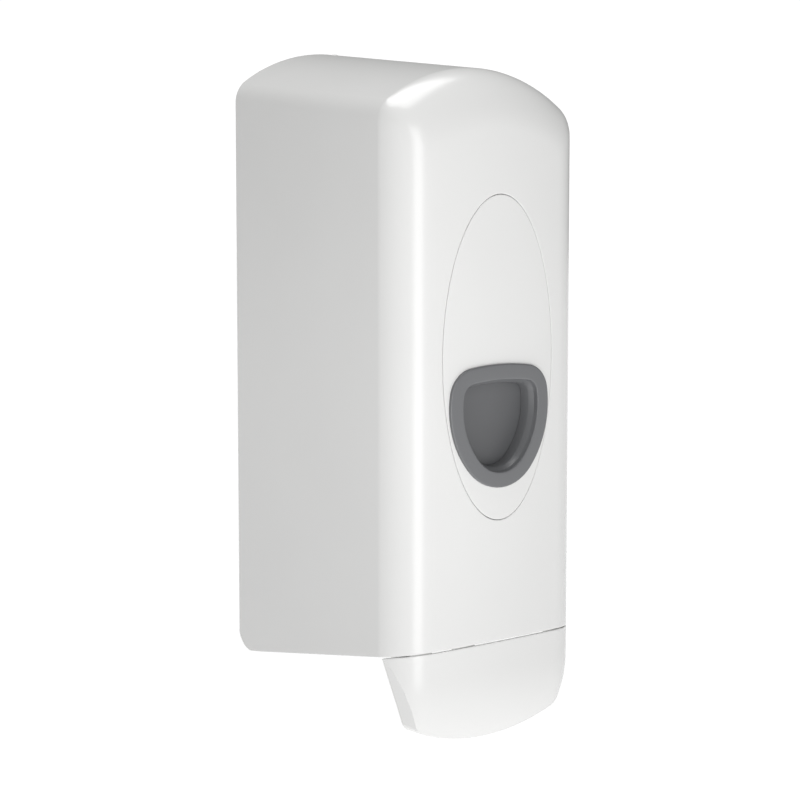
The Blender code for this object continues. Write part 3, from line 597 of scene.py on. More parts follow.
def housing_column_rows(levels, soft, edge_steps=14):
    """Right half of the skin: a row of points for each level u, from the wall to the end of the rounding."""
    rows = []
    side_y = front_y(FRONT_HALF) + EDGE
    for u in levels:
        flat_u = max(u, 1.0)
        over = (flat_u - 1) / 2
        rounding_y = side_y + over * (TOP_EDGE - DEPTH - side_y)
        wall_x, wall_z = half_outline(HALF_WIDTH, SHOULDER, ARCH, PEAK_AT_WALL, SIDE_FOOT, flat_u)
        front_x, front_z = half_outline(FRONT_HALF, FRONT_SHOULDER, FRONT_ARCH, FRONT_PEAK, SIDE_FOOT, flat_u)
        start = (wall_x, rounding_y, wall_z + TOP_SLOPE * rounding_y)
        shoulder, arch, peak = SHOULDER - CREASE, ARCH - CREASE, PEAK_AT_WALL - CREASE
        sharp_x, sharp_z = half_outline(HALF_WIDTH - CREASE, shoulder, arch, peak, SIDE_FOOT, flat_u)
        sharp = (sharp_x, front_y(sharp_x), sharp_z + TOP_SLOPE * front_y(sharp_x))
        end = (front_x, front_y(front_x), front_z)
        row = [(wall_x, y, wall_z + TOP_SLOPE * y) for y in side_depths(rounding_y, soft)]
        row += [tuple(conic(start, sharp, end, k / edge_steps)) for k in range(edge_steps + 1)]
        if u < 1:
            row = [(x, y, lower_edge(y, soft) * (1 - u) + z * u) for x, y, z in row]
        rows.append(row)
    return rows


def oval_point(angle, grow=0.0):
    return (OVAL_HALF + grow) * cos(angle), OVAL_Z + (OVAL_RISE + grow) * sin(angle)


def housing_skin(soft, oval_soft):
    """The housing's outer skin with its open rear, open underside and oval opening."""
    bm = bmesh.new()
    levels = [0.0, 0.004, 0.03, *[k / 24 for k in range(2, 25)]]
    levels += [1 + k / 10 for k in range(1, 11)] + [2 + k / 18 for k in range(1, 19)]
    rows = housing_column_rows(levels, soft)
    right = [[bm.verts.new(place) for place in row] for row in rows]
    left = [[bm.verts.new((-x, y, z)) for x, y, z in row] for row in rows[:-1]] + [right[-1]]
    for half in (right, left):
        bridge(bm, half, closed=False)
    across = 26
    floor_row = []
    for k in range(1, across):
        x = -FRONT_HALF + 2 * FRONT_HALF * k / across
        floor_row.append(bm.verts.new((x, front_y(x), lower_edge(front_y(x), soft))))
    outer = [row[-1] for row in right] + [row[-1] for row in reversed(left[:-1])] + floor_row
    angles = [atan2((v.co.z - OVAL_Z) / OVAL_RISE, v.co.x / OVAL_HALF) for v in outer]
    rings = [outer]
    for share in (0.02, 0.12, 0.28, 0.46, 0.64, 0.8, 0.92):
        ring = []
        for vert, angle in zip(outer, angles):
            inner_x, inner_z = oval_point(angle, oval_soft + 0.5)
            x = vert.co.x * (1 - share) + inner_x * share
            z = vert.co.z * (1 - share) + inner_z * share
            ring.append(bm.verts.new((x, front_y(x), z)))
        rings.append(ring)
    for grow in (oval_soft + 0.5, oval_soft):
        spots = [oval_point(angle, grow) for angle in angles]
        rings.append([bm.verts.new((x, front_y(x), z)) for x, z in spots])
    bridge(bm, rings)
    bmesh.ops.remove_doubles(bm, verts=bm.verts, dist=1e-4)
    bmesh.ops.recalc_face_normals(bm, faces=bm.faces)
    if sum(face.normal.y * face.calc_area() for face in bm.faces) > 0:
        bmesh.ops.reverse_faces(bm, faces=bm.faces)
    return bm


def pin_boss(bm, side, inner, radius, y, z):
    """A hollow boss inside the wall that holds the end of a pin."""
    profile = (
        (radius, side * 48.3),
        (radius, side * inner),
        (PIN_BORE, side * inner),
        (PIN_BORE, side * 48.3),
    )
    turned(bm, profile, (0, y, z), "X", radius=0.5, steps=48)


# ---------------------------------------------------------------- pieces


class DispenserOperator:
    """Shared by every operator here: undo, and one report line."""

    bl_options = {"REGISTER", "UNDO"}

    def execute(self, context):
        self.build(context)
        self.report({"INFO"}, f"{self.bl_label} built")
        return {"FINISHED"}


class DISPENSER_OT_cover(DispenserOperator, bpy.types.Operator):
    """Housing cover: one moulded skin with rounded rims, pin bosses and the hole for the latch"""

    bl_idname = "dispenser.cover"
    bl_label = "Housing cover"

    def build(self, context):
        soft, oval_soft = millimetres("edge_round"), millimetres("oval_round")

        def soft_at(place):
            share = (place.x / OVAL_HALF) ** 2 + ((place.z - OVAL_Z) / OVAL_RISE) ** 2
            return oval_soft if share < 1.2 and place.y < -DEPTH / 2 else soft

        bm = housing_skin(soft, oval_soft)
        thicken(bm, millimetres("wall"), soft_at)
        shell = solid_from(bm, "cover_scratch")
        drill = bmesh.new()
        hole = ((0, 150.0), (4.2, 150.0), (3.0, 137.0), (2.5, 136.2), (2.5, 120.0), (0, 120.0))
        turned(drill, hole, (0, LATCH_Y, 0), radius=0.25, steps=48)
        cutter = solid_from(drill, "latch_drill")
        step = shell.modifiers.new("Latch hole", "BOOLEAN")
        step.operation = "DIFFERENCE"
        step.solver = "EXACT"
        step.object = cutter
        whole = evaluated_bmesh(shell)
        bpy.data.objects.remove(cutter)
        for side in (-1, 1):
            pin_boss(whole, side, 45.8, 6.0, HINGE_Y, HINGE_Z)
            pin_boss(whole, side, 43.9, 5.5, PIVOT_Y, PIVOT_Z)
        put("cover_moulding", whole, "white_moulded_abs", "cover", ("cover",))


def window_outline(grow=0.0, steps=14):
    """The window's outline: three corner circles joined by shallow arcs, moved out or in by grow."""
    radii = [r + grow for r in WINDOW_RADII]
    bulges = [r + grow for r in WINDOW_BULGES]
    count = len(WINDOW_CORNERS)
    middles = []
    for i in range(count):
        j = (i + 1) % count
        start, end = Vector(WINDOW_CORNERS[i]), Vector(WINDOW_CORNERS[j])
        near, far = bulges[i] - radii[i], bulges[i] - radii[j]
        span = (end - start).length
        along = (near * near - far * far + span * span) / (2 * span)
        across = sqrt(near * near - along * along)
        line = (end - start) / span
        middles.append(start + line * along + Vector((line.y, -line.x)) * across)
    points = []
    for i in range(count):
        corner, after = Vector(WINDOW_CORNERS[i]), Vector(WINDOW_CORNERS[(i + 1) % count])
        arriving, leaving = middles[i - 1], middles[i]
        last = (corner - leaving).normalized()
        points += arc_points(corner, radii[i], (corner - arriving).normalized(), last, steps)
        points += arc_points(leaving, bulges[i], last, (after - leaving).normalized(), steps)[1:-1]
    return points


def arc_points(centre, radius, first, last, steps):
    sweep = first.angle_signed(last)
    spots = [centre + Matrix.Rotation(-sweep * i / steps, 2) @ first * radius for i in range(steps + 1)]
    return [(spot.x, spot.y) for spot in spots]


def on_front(points, inset):
    """Outline points laid on the front of the housing, or that far below it."""
    return [(x, front_y(x, inset), z) for x, z in points]


class DISPENSER_OT_oval_panel(DispenserOperator, bpy.types.Operator):
    """Oval front panel: flush with the housing, with a lip behind it and the opening for the window"""

    bl_idname = "dispenser.oval_panel"
    bl_label = "Oval panel"

    def build(self, context):
        soft, gap, wall = millimetres("oval_round"), millimetres("oval_gap"), millimetres("wall")
        middle = Vector(WINDOW_MIDDLE)
        turns = [2 * pi * k / OVAL_STEPS for k in range(OVAL_STEPS)]
        edge = [Vector(point) - middle for point in window_outline(-1.5, 40)]

        def oval_ring(grow):
            return [oval_point(turn, grow) for turn in turns]

        def opening_point(direction):
            """Where a ray from the middle of the window meets the window's opening."""
            for first, second in zip(edge, [*edge[1:], edge[0]]):
                across = first.x * direction.y - first.y * direction.x
                over = direction.x * second.y - direction.y * second.x
                if across * over >= 0 and first.dot(direction) > 0 and across + over != 0:
                    spot = middle + first + (second - first) * across / (across + over)
                    return spot.x, spot.y
            raise ValueError("the ray missed the opening")

        opening = [opening_point(Vector(point) - middle) for point in oval_ring(0.0)]

        def between(first, second, share):
            rest = 1 - share
            return [(a * rest + c * share, b * rest + d * share) for (a, b), (c, d) in zip(first, second)]

        bm = bmesh.new()
        rim = oval_ring(-gap - soft)
        back_rim = oval_ring(PANEL_LIP)
        back = wall + gap + PANEL_LIP_THICK
        layers = [(opening, 0.0)]
        shares = (0.06, 0.2, 0.36, 0.52, 0.68, 0.84)
        layers += [(between(opening, oval_ring(-gap - soft - 0.5), share), 0.0) for share in shares]
        layers += [(oval_ring(-gap - soft - 0.5), 0.0), (rim, 0.0)]
        for k in range(1, 4):
            angle = pi / 2 * k / 3
            layers.append((oval_ring(-gap - soft * (1 - sin(angle))), soft * (1 - cos(angle))))
        layers += [(oval_ring(-gap), wall + gap), (back_rim, wall + gap), (back_rim, back)]
        layers += [(between(back_rim, opening, share), back) for share in (0.2, 0.4, 0.6, 0.8, 1.0)]
        loops = [[bm.verts.new(place) for place in on_front(points, inset)] for points, inset in layers]
        bridge(bm, [*loops, loops[0]])
        put("oval_panel_moulding", bm, "white_moulded_abs", "cover", ("oval_panel",))


class DISPENSER_OT_window(DispenserOperator, bpy.types.Operator):
    """Level window: the grey bezel with its rounded rim and funnel, and the smoked pane behind it"""

    bl_idname = "dispenser.window"
    bl_label = "Level window"

    def build(self, context):
        rim, proud, recess = millimetres("bezel_rim"), millimetres("bezel_proud"), millimetres("recess")
        pane_y = -DEPTH + recess
        seat = -0.04
        layers = [(0.0, seat, None), (0.0, -proud + 0.55, None)]
        for k in range(1, 5):
            angle = pi / 2 * k / 4
            layers.append((-0.55 * (1 - cos(angle)), -proud + 0.55 * (1 - sin(angle)), None))
        layers += [(-0.9, -proud, None), (-rim / 2, -proud - 0.12, None), (-rim + 0.9, -proud, None)]
        for k in range(5):
            angle = pi / 2 * k / 4
            layers.append((-rim + 0.5 - 0.5 * sin(angle), -proud + 0.5 * (1 - cos(angle)), None))
        # The funnel: a short wall, a sloping ledge and a second wall down to the pane
        layers += [(-rim - 0.15, 0.9, None), (-rim - 0.35, 1.15, None), (-rim - 1.45, 2.9, None)]
        layers += [(-rim - 1.65, 3.3, None), (-rim - 1.7, None, pane_y - 0.9), (-rim - 1.8, None, pane_y)]
        layers += [(-rim + 0.6, None, pane_y), (-rim + 1.6, None, -119.4), (-1.9, None, -119.4)]
        layers += [(-1.9, seat, None)]
        bm = bmesh.new()
        loops = []
        for grow, offset, level in layers:
            outline = window_outline(grow)
            loops.append(
                [bm.verts.new((x, front_y(x) + offset if level is None else level, z)) for x, z in outline]
            )
        bridge(bm, [*loops, loops[0]])
        put("window_bezel_moulding", bm, "grey_moulded_abs", "cover", ("window_bezel",), 35.0)

        bm = bmesh.new()
        front, thick, soft = pane_y + 0.3, 2.0, 0.3
        loops = []
        edge = -rim + 0.4
        rear = front + thick
        for grow, y in ((edge - soft, front), (edge, front + soft), (edge, rear - soft), (edge - soft, rear)):
            loops.append([bm.verts.new((x, y, z)) for x, z in window_outline(grow)])
        bridge(bm, loops)
        for face_loop, y in ((loops[0], front), (loops[-1], rear)):
            rings = [face_loop]
            for share in (0.25, 0.5, 0.75):
                ring = []
                for vert in face_loop:
                    x = vert.co.x * (1 - share) + WINDOW_MIDDLE[0] * share
                    z = vert.co.z * (1 - share) + WINDOW_MIDDLE[1] * share
                    ring.append(bm.verts.new((x, y, z)))
                rings.append(ring)
            rings.append([bm.verts.new((WINDOW_MIDDLE[0], y, WINDOW_MIDDLE[1]))])
            bridge(bm, rings)
        put("window_pane_sheet", bm, "smoked_polycarbonate", "cover", ("window_pane",))


# ---------------------------------------------------------------- lever


def lever_side(z):
    """Half width of the lever's tapering side at a height."""
    return HALF_WIDTH - LEVER_FLARE * (LEVER_TOP - z)


def lever_lower_outline(inset, steps=12):
    """Right half of the lever's lower edge, from the foot of the tapering side to the middle."""
    lean = sqrt(1 + LEVER_FLARE**2)
    centre_z = LEVER_BOTTOM + LEVER_ARCH
    reach = LEVER_ARCH - LEVER_CORNER
    x = 30.0
    for _ in range(40):
        z = centre_z - sqrt(reach * reach - x * x)
        x = lever_side(z) - LEVER_CORNER * lean
    z = centre_z - sqrt(reach * reach - x * x)
    side_angle = asin(LEVER_FLARE / lean)
    low_angle = -pi / 2 + asin(x / reach)
    corner, arch = LEVER_CORNER - inset, LEVER_ARCH - inset
    points = []
    for i in range(steps + 1):
        angle = -side_angle + (low_angle + side_angle) * i / steps
        points.append((x + corner * cos(angle), z + corner * sin(angle)))
    for i in range(1, 2 * steps + 1):
        angle = low_angle + (-pi / 2 - low_angle) * i / (2 * steps)
        points.append((arch * cos(angle), centre_z + arch * sin(angle)))
    return points


def lever_face_y(x, z, inset=0.0):
    """How far out the lever's face stands: the housing's section, curving back under."""
    tuck = LEVER_TUCK * max(0.0, LEVER_TUCK_START - z) ** 2
    x = abs(x)
    half = HALF_WIDTH - inset
    if x <= FRONT_HALF:
        return front_y(x, inset) + tuck
    start = (half, front_y(FRONT_HALF) + EDGE)
    sharp = (half - CREASE, front_y(half - CREASE, inset))
    end = (FRONT_HALF, front_y(FRONT_HALF, inset))
    low, high = 0.0, 1.0
    for _ in range(36):
        middle = (low + high) / 2
        if conic(start, sharp, end, middle)[0] > x:
            low = middle
        else:
            high = middle
    return conic(start, sharp, end, high)[1] + tuck


def lever_grid(inset, soft, rows=22):
    """Columns of points over the lever's face: inset moves its outline and its face inwards together."""
    lean = sqrt(1 + LEVER_FLARE**2)
    lower = lever_lower_outline(inset)
    lower = lower + [(-x, z) for x, z in reversed(lower[:-1])]
    columns = []
    for foot_x, foot_z in lower:
        fraction = foot_x / (lever_side(foot_z) - inset * lean)
        fraction = max(-1.0, min(1.0, fraction))
        gap = millimetres("seam_gap") + soft
        top = SEAM_FRONT - gap
        for _ in range(12):
            x = fraction * (lever_side(top) - inset * lean)
            top = seam_z(min(lever_face_y(x, top, inset), LEVER_REAR)) - gap
        column = []
        for k in range(rows + 1):
            share = k / rows
            share = share if k not in (1, rows - 1) else (0.35 / rows if k == 1 else 1 - 0.35 / rows)
            z = top + (foot_z - top) * share
            x = fraction * (lever_side(z) - inset * lean)
            column.append((x, min(lever_face_y(x, z, inset), LEVER_REAR - 0.5), z))
        columns.append(column)
    return columns


class DISPENSER_OT_lever(DispenserOperator, bpy.types.Operator):
    """Push lever: a tapering tray that carries on the housing's section, with side walls and pivot ears"""

    bl_idname = "dispenser.lever"
    bl_label = "Push lever"

    def build(self, context):
        round_over, soft, wall = millimetres("lever_round"), 0.2, millimetres("wall")
        outer = lever_grid(0.0, soft)
        inner = lever_grid(wall - 0.3, soft)
        bm = bmesh.new()
        count, rows = len(outer), len(outer[0])
        places = [[Vector(p) for p in column] for column in outer]
        rear_rim = {}

        def rim_path(i, k, outward):
            """Points from the face's sharp edge round to the rear rim and in to the inner edge."""
            edge = places[i][k]
            slope = -SEAM_SLOPE if k == 0 else 0.0
            back = Vector((0.0, 1.0, slope)).normalized()
            inside = Vector(inner[i][k])
            if i in (0, count - 1):
                neighbour = places[1 if i == 0 else count - 2][k]
            else:
                neighbour = places[i][k - 1]
            along = (edge - neighbour).normalized()
            turn = back - along * back.dot(along)
            angle = along.angle(back)
            turn = turn.normalized() if turn.length > 1e-6 else Vector()
            tangent = sin(angle / 2) / max(cos(angle / 2), 1e-3)
            radius = min(round_over, 0.7 * max(0.05, LEVER_REAR - edge.y))
            start = edge - along * radius * tangent
            path = [start]
            for step in range(1, 6):
                a = angle * step / 5
                path.append(start + along * radius * sin(a) + turn * radius * (1 - cos(a)))
            length = (LEVER_REAR - soft - path[-1].y) / back.y
            last = path[-1] + back * max(0.05, length)
            path.append(last)
            for step in range(1, 4):
                a = pi / 2 * step / 3
                path.append(last + back * soft * sin(a) - outward * soft * (1 - cos(a)))
            top_inside = Vector((inside.x, LEVER_REAR, inside.z + slope * (LEVER_REAR - inside.y)))
            path += [top_inside + outward * soft, top_inside - back * soft]
            path.append(inside)
            return path

        def normal_2d(i, k):
            """Outward direction of the outline in the plane of the front."""
            if k == rows - 1 and 0 < i < count - 1:
                a, b = places[i - 1][k], places[i + 1][k]
            else:
                side = 1.0 if i < count / 2 else -1.0
                return Vector((side, 0.0, -LEVER_FLARE)).normalized()
            line = Vector((b.x - a.x, 0.0, b.z - a.z)).normalized()
            outward = Vector((line.z, 0.0, -line.x))
            return outward if outward.z < 0 else -outward

        edge_keys = [(0, k) for k in range(rows)]
        edge_keys += [(i, rows - 1) for i in range(1, count)]
        edge_keys += [(count - 1, k) for k in range(rows - 2, -1, -1)]
        for key in edge_keys:
            rear_rim[key] = rim_path(*key, normal_2d(*key))
        face_verts = []
        for i in range(count):
            column = []
            for k in range(rows):
                place = rear_rim[(i, k)][0] if (i, k) in rear_rim else places[i][k]
                column.append(bm.verts.new(place))
            face_verts.append(column)
        back_verts = [[bm.verts.new(p) for p in column] for column in inner]
        bridge(bm, face_verts, closed=False)
        bridge(bm, back_verts, closed=False)
        # Round the sides and the lower edge
        paths = []
        for i, k in edge_keys:
            middle = [bm.verts.new(p) for p in rear_rim[(i, k)][1:-1]]
            paths.append([face_verts[i][k], *middle, back_verts[i][k]])
        bridge(bm, paths, closed=False)
        # Across the top, between the two side paths
        tops = []
        for i in range(1, count - 1):
            outer_top, inner_top = face_verts[i][0].co, back_verts[i][0].co
            through = (inner_top - outer_top).normalized()
            tops.append(
                [
                    face_verts[i][0],
                    bm.verts.new(outer_top + through * soft * 0.3 + Vector((0, 0, soft * 0.7))),
                    bm.verts.new(outer_top + through * soft + Vector((0, 0, soft))),
                    bm.verts.new(inner_top - through * soft + Vector((0, 0, soft))),
                    back_verts[i][0],
                ]
            )
        bridge(bm, tops, closed=False)
        for path, strip in ((paths[0], tops[0]), (paths[-1], tops[-1])):
            bm.faces.new([*path, *reversed(strip)])
        bmesh.ops.triangulate(bm, faces=[face for face in bm.faces if len(face.verts) > 4])
        for side in (-1, 1):
            self.ear(bm, side)
        put("push_lever_moulding", bm, "white_moulded_abs", "lever", ("push_lever",), 38.0)

    @staticmethod
    def ear(bm, side):
        """The lug that turns on the pivot pin, bored through and reaching down into the lever."""
        tip, bore, steps = 5.2, 2.9, 24
        loops = []
        for x, shrink in ((40.0, 0.3), (40.3, 0.0), (43.2, 0.0), (43.5, 0.3)):
            outer_loop, bore_loop = [], []
            for k in range(steps):
                angle = 2 * pi * k / steps
                for loop, radius in ((outer_loop, tip - shrink), (bore_loop, bore + shrink)):
                    loop.append((PIVOT_Y + radius * cos(angle), PIVOT_Z + radius * sin(angle)))
            loops.append((side * x, outer_loop, bore_loop))
        outers = [[bm.verts.new((x, a, b)) for a, b in outer_loop] for x, outer_loop, _ in loops]
        bores = [[bm.verts.new((x, a, b)) for a, b in bore_loop] for x, _, bore_loop in loops]
        bridge(bm, [*outers, *reversed(bores), outers[0]])
        web = [(-109.8, -112.4), (-103.2, -113.0), (-106.6, -118.6), (-108.4, -137.0), (-117.6, -137.0)]
        web += [(-117.4, -126.0), (-114.4, -118.0)]
        slab(bm, web, side * 40.1, side * 43.4, "X", 0.3)


# ---------------------------------------------------------------- pieces eased from the frame's own solids


def eased(name, node, finish_name, body, width=0.35, sharp=30.0):
    """A moulded version of a plain solid of the frame: the same shape with its edges rounded."""
    source = bmesh.new()
    source.from_mesh(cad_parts[node].data)
    bmesh.ops.scale(source, vec=(1 / MM, 1 / MM, 1 / MM), verts=source.verts)
    bmesh.ops.remove_doubles(source, verts=source.verts, dist=2e-3)
    bmesh.ops.dissolve_limit(source, angle_limit=radians(1.5), verts=source.verts, edges=source.edges)
    scratch = solid_from(source, f"{name}_scratch")
    bevel = scratch.modifiers.new("Eased edges", "BEVEL")
    bevel.width = width * MM
    bevel.segments = 3
    bevel.limit_method = "ANGLE"
    bevel.angle_limit = radians(sharp)
    bevel.use_clamp_overlap = True
    whole = evaluated_bmesh(scratch)
    return put(name, whole, finish_name, body, (node,), 32.0)


class DISPENSER_OT_back_plate(DispenserOperator, bpy.types.Operator):
    """Back plate, the shelf that carries the reservoir, and the yoke inside the lever"""

    bl_idname = "dispenser.back_plate"
    bl_label = "Back plate and shelf"

    def build(self, context):
        eased("back_plate_moulding", "back_plate", "white_moulded_abs", "back", 0.4)
        eased("support_shelf_moulding", "support_shelf", "white_moulded_abs", "back", 0.4)
        eased("lever_yoke_moulding", "lever_yoke", "white_moulded_abs", "lever", 0.35)


class DISPENSER_OT_reservoir(DispenserOperator, bpy.types.Operator):
    """Reservoir with its hinged lid and the lid's seal"""

    bl_idname = "dispenser.reservoir"
    bl_label = "Reservoir and lid"

    def build(self, context):
        eased("reservoir_moulding", "reservoir", "frosted_polyethylene_wall", "back", 0.6, 40.0)
        eased("reservoir_lid_moulding", "reservoir_lid", "frosted_polyethylene_wall", "lid", 0.35)
        eased("lid_seal_moulding", "lid_seal", "grey_silicone_rubber", "lid", 0.35)


def turned_piece(name, profile, centre, finish_name, body, node, radius=0.3, steps=96, axis="Z"):
    bm = bmesh.new()
    turned(bm, profile, centre, axis, radius, steps)
    return put(name, bm, finish_name, body, (node,), 38.0)


# ---------------------------------------------------------------- rule-made pieces


def input_socket(tree, name, kind, default=None):
    made = tree.interface.new_socket(name=name, in_out="INPUT", socket_type=kind)
    if default is not None:
        made.default_value = default
    return made


def start_tree(name, wanted):
    """A geometry tree with named inputs and its group nodes."""
    tree = bpy.data.node_groups.new(name, "GeometryNodeTree")
    tree.interface.new_socket(name="Geometry", in_out="INPUT", socket_type="NodeSocketGeometry")
    for label, kind, default in wanted:
        input_socket(tree, label, kind, default)
    tree.interface.new_socket(name="Geometry", in_out="OUTPUT", socket_type="NodeSocketGeometry")
    return tree, add(tree, "NodeGroupInput")


def end_tree(tree, group, geometry):
    """Realizes the instances, sets the finish and closes the tree."""
    real = add(tree, "GeometryNodeRealizeInstances", links={"Geometry": geometry})
    smooth = add(tree, "GeometryNodeSetShadeSmooth", links={"Geometry": real.outputs["Geometry"]})
    painted = add(
        tree,
        "GeometryNodeSetMaterial",
        links={"Geometry": smooth.outputs["Geometry"], "Material": group.outputs["Finish"]},
    )
    add(tree, "NodeGroupOutput", links={0: painted.outputs["Geometry"]})
    return tree


def spring_tree():
    """A round-wire compression spring, from the middle of its lowest turn upwards."""
    wanted = (
        ("Turns", "NodeSocketFloat", 7.0),
        ("Coil Radius", "NodeSocketFloat", 0.005),
        ("Wire Radius", "NodeSocketFloat", 0.0005),
        ("Height", "NodeSocketFloat", 0.03),
        ("Foot", "NodeSocketVector", (0.0, 0.0, 0.0)),
        ("Finish", "NodeSocketMaterial", None),
    )
    tree, group = start_tree("Wire spring", wanted)
    spiral = add(
        tree,
        "GeometryNodeCurveSpiral",
        {"Resolution": 40},
        {
            "Rotations": group.outputs["Turns"],
            "Start Radius": group.outputs["Coil Radius"],
            "End Radius": group.outputs["Coil Radius"],
            "Height": group.outputs["Height"],
        },
    )
    thickness = {"Radius": group.outputs["Wire Radius"]}
    wire = add(tree, "GeometryNodeCurvePrimitiveCircle", {"Resolution": 12}, thickness)
    swept = add(
        tree,
        "GeometryNodeCurveToMesh",
        {"Fill Caps": True},
        {"Curve": spiral.outputs["Curve"], "Profile Curve": wire.outputs["Curve"]},
    )
    moved = add(
        tree,
        "GeometryNodeTransform",
        links={"Geometry": swept.outputs["Mesh"], "Translation": group.outputs["Foot"]},
    )
    return end_tree(tree, group, moved.outputs["Geometry"])


def grip_tree():
    """A round pump nut's upright grip ribs, evenly spaced about its axis."""
    wanted = (
        ("Ribs", "NodeSocketInt", 36),
        ("Ring Radius", "NodeSocketFloat", 0.0186),
        ("Rib Radius", "NodeSocketFloat", 0.0006),
        ("Rib Height", "NodeSocketFloat", 0.01),
        ("Middle", "NodeSocketVector", (0.0, 0.0, 0.0)),
        ("Finish", "NodeSocketMaterial", None),
    )
    tree, group = start_tree("Grip ribs", wanted)
    ring = add(
        tree,
        "GeometryNodeMeshCircle",
        links={"Vertices": group.outputs["Ribs"], "Radius": group.outputs["Ring Radius"]},
    )
    rib = add(
        tree,
        "GeometryNodeMeshCylinder",
        {"Vertices": 10},
        {"Radius": group.outputs["Rib Radius"], "Depth": group.outputs["Rib Height"]},
    )
    placed = add(
        tree,
        "GeometryNodeInstanceOnPoints",
        links={"Points": ring.outputs["Mesh"], "Instance": rib.outputs["Mesh"]},
    )
    moved = add(
        tree,
        "GeometryNodeTransform",
        links={"Geometry": placed.outputs["Instances"], "Translation": group.outputs["Middle"]},
    )
    return end_tree(tree, group, moved.outputs["Geometry"])


def grown(name, tree, values, finish_name):
    """Runs a geometry tree on an empty mesh and returns what it makes as a plain mesh in millimetres."""
    holder = bpy.data.objects.new(name, bpy.data.meshes.new(name))
    bpy.context.scene.collection.objects.link(holder)
    step = holder.modifiers.new("Rule", "NODES")
    step.node_group = tree
    sockets = {item.name: item.identifier for item in tree.interface.items_tree if item.in_out == "INPUT"}
    for label, value in {**values, "Finish": finish(finish_name)}.items():
        step[sockets[label]] = value
    return evaluated_bmesh(holder)


def make_spring(name, node, turns, coil, wire, low, high, centre):
    values = {
        "Turns": float(turns),
        "Coil Radius": coil * MM,
        "Wire Radius": wire * MM,
        "Height": (high - low - 2 * wire) * MM,
        "Foot": (centre[0] * MM, centre[1] * MM, (low + wire) * MM),
    }
    bm = grown(name, spring_tree(), values, "drawn_stainless_steel")
    piece = put(name, bm, "drawn_stainless_steel", "back", (node,), 60.0)
    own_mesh(piece)
    return piece


class DISPENSER_OT_pump(DispenserOperator, bpy.types.Operator):
    """Pump: barrel, ribbed nut, cap, piston, valves, nozzle and its return spring"""

    bl_idname = "dispenser.pump"
    bl_label = "Pump"

    def build(self, context):
        centre = (0, PUMP_Y, 0)
        neck, barrel, bore, stem = 15.0, 9.0, 6.6, 3.4
        top, end, flange, head, collar = -58.0, -106.0, -93.8, -95.0, -124.0
        shapes = {
            "pump_barrel": (
                ((barrel - 0.8, top), (barrel, top - 0.8), (barrel, flange), (neck - 0.8, flange))
                + ((neck - 0.8, flange - 1.7), (barrel, flange - 1.7), (barrel, end), (bore, end))
                + ((bore, top - 3.0), (1.6, top - 3.0), (1.6, top)),
                "natural_acetal",
                "back",
                0.35,
            ),
            "neck_gasket": (
                ((neck - 1.0, -92.2), (neck - 1.0, -93.6), (barrel + 0.3, -93.6), (barrel + 0.3, -92.2)),
                "grey_silicone_rubber",
                "back",
                0.3,
            ),
            "inlet_valve": (
                ((0, top + 1.9), (1.1, top + 1.9), (2.6, top + 0.3), (1.2, top + 0.3), (1.2, top - 3.3))
                + ((4.8, top - 3.5), (4.2, top - 4.2), (0, top - 4.6)),
                "grey_silicone_rubber",
                "back",
                0.25,
            ),
            "barrel_cap": (
                ((barrel + 1.6, end + 3.0), (barrel + 1.6, end - 2.6), (stem + 0.4, end - 2.6))
                + ((stem + 0.4, end - 0.3), (barrel + 0.3, end - 0.3), (barrel + 0.3, end + 3.0)),
                "natural_acetal",
                "back",
                0.4,
            ),
            "pump_piston": (
                ((5.3, head), (5.3, head - 1.2), (4.0, head - 1.2), (4.0, head - 4.2), (5.3, head - 4.2))
                + ((5.3, head - 5.4), (stem, head - 5.4), (stem, -130.0), (1.5, -130.0), (1.5, head)),
                "natural_acetal",
                "piston",
                0.25,
            ),
            "piston_seal": (
                ((6.4, head - 1.4), (6.4, head - 4.0), (4.2, head - 4.0), (4.2, head - 1.4)),
                "grey_silicone_rubber",
                "piston",
                0.5,
            ),
            "nozzle": (
                ((6.0, collar + 3.0), (14.0, collar + 2.2), (14.0, collar), (8.6, collar - 0.6))
                + ((8.0, -140.0), (6.2, -149.0), (4.4, -149.0), (4.4, -132.0), (3.6, -131.0))
                + ((3.6, collar + 3.0),),
                "natural_acetal",
                "piston",
                0.5,
            ),
            "outlet_valve": (
                ((4.1, -132.6), (4.1, -141.0), (2.4, -147.5), (1.2, -147.5), (2.8, -140.0), (2.8, -132.6)),
                "grey_silicone_rubber",
                "piston",
                0.2,
            ),
        }
        for node, (profile, finish_name, body, radius) in shapes.items():
            turned_piece(f"{node}_moulding", profile, centre, finish_name, body, node, radius)
        low, high = -98.2, -83.9
        nut = ((neck + 3.0, high), (neck + 3.0, low), (barrel + 0.4, low), (barrel + 0.4, -95.8))
        nut += ((neck + 0.4, -95.8), (neck + 0.4, high))
        values = {
            "Ribs": 40,
            "Ring Radius": (neck + 3.0) * MM,
            "Rib Radius": 0.6 * MM,
            "Rib Height": (high - low - 2.0) * MM,
            "Middle": (0.0, PUMP_Y * MM, (high + low) / 2 * MM),
        }
        bm = grown("grip_ribs", grip_tree(), values, "natural_acetal")
        turned(bm, nut, centre, "Z", 0.5, 80)
        put("pump_nut_moulding", bm, "natural_acetal", "back", ("pump_nut",), 38.0)
        coil, wire, foot, head_end = 5.3, 0.45, -94.2, -66.0
        make_spring(
            "pump_spring_wire", "pump_spring", 7, coil, wire, foot, head_end, centre
        )


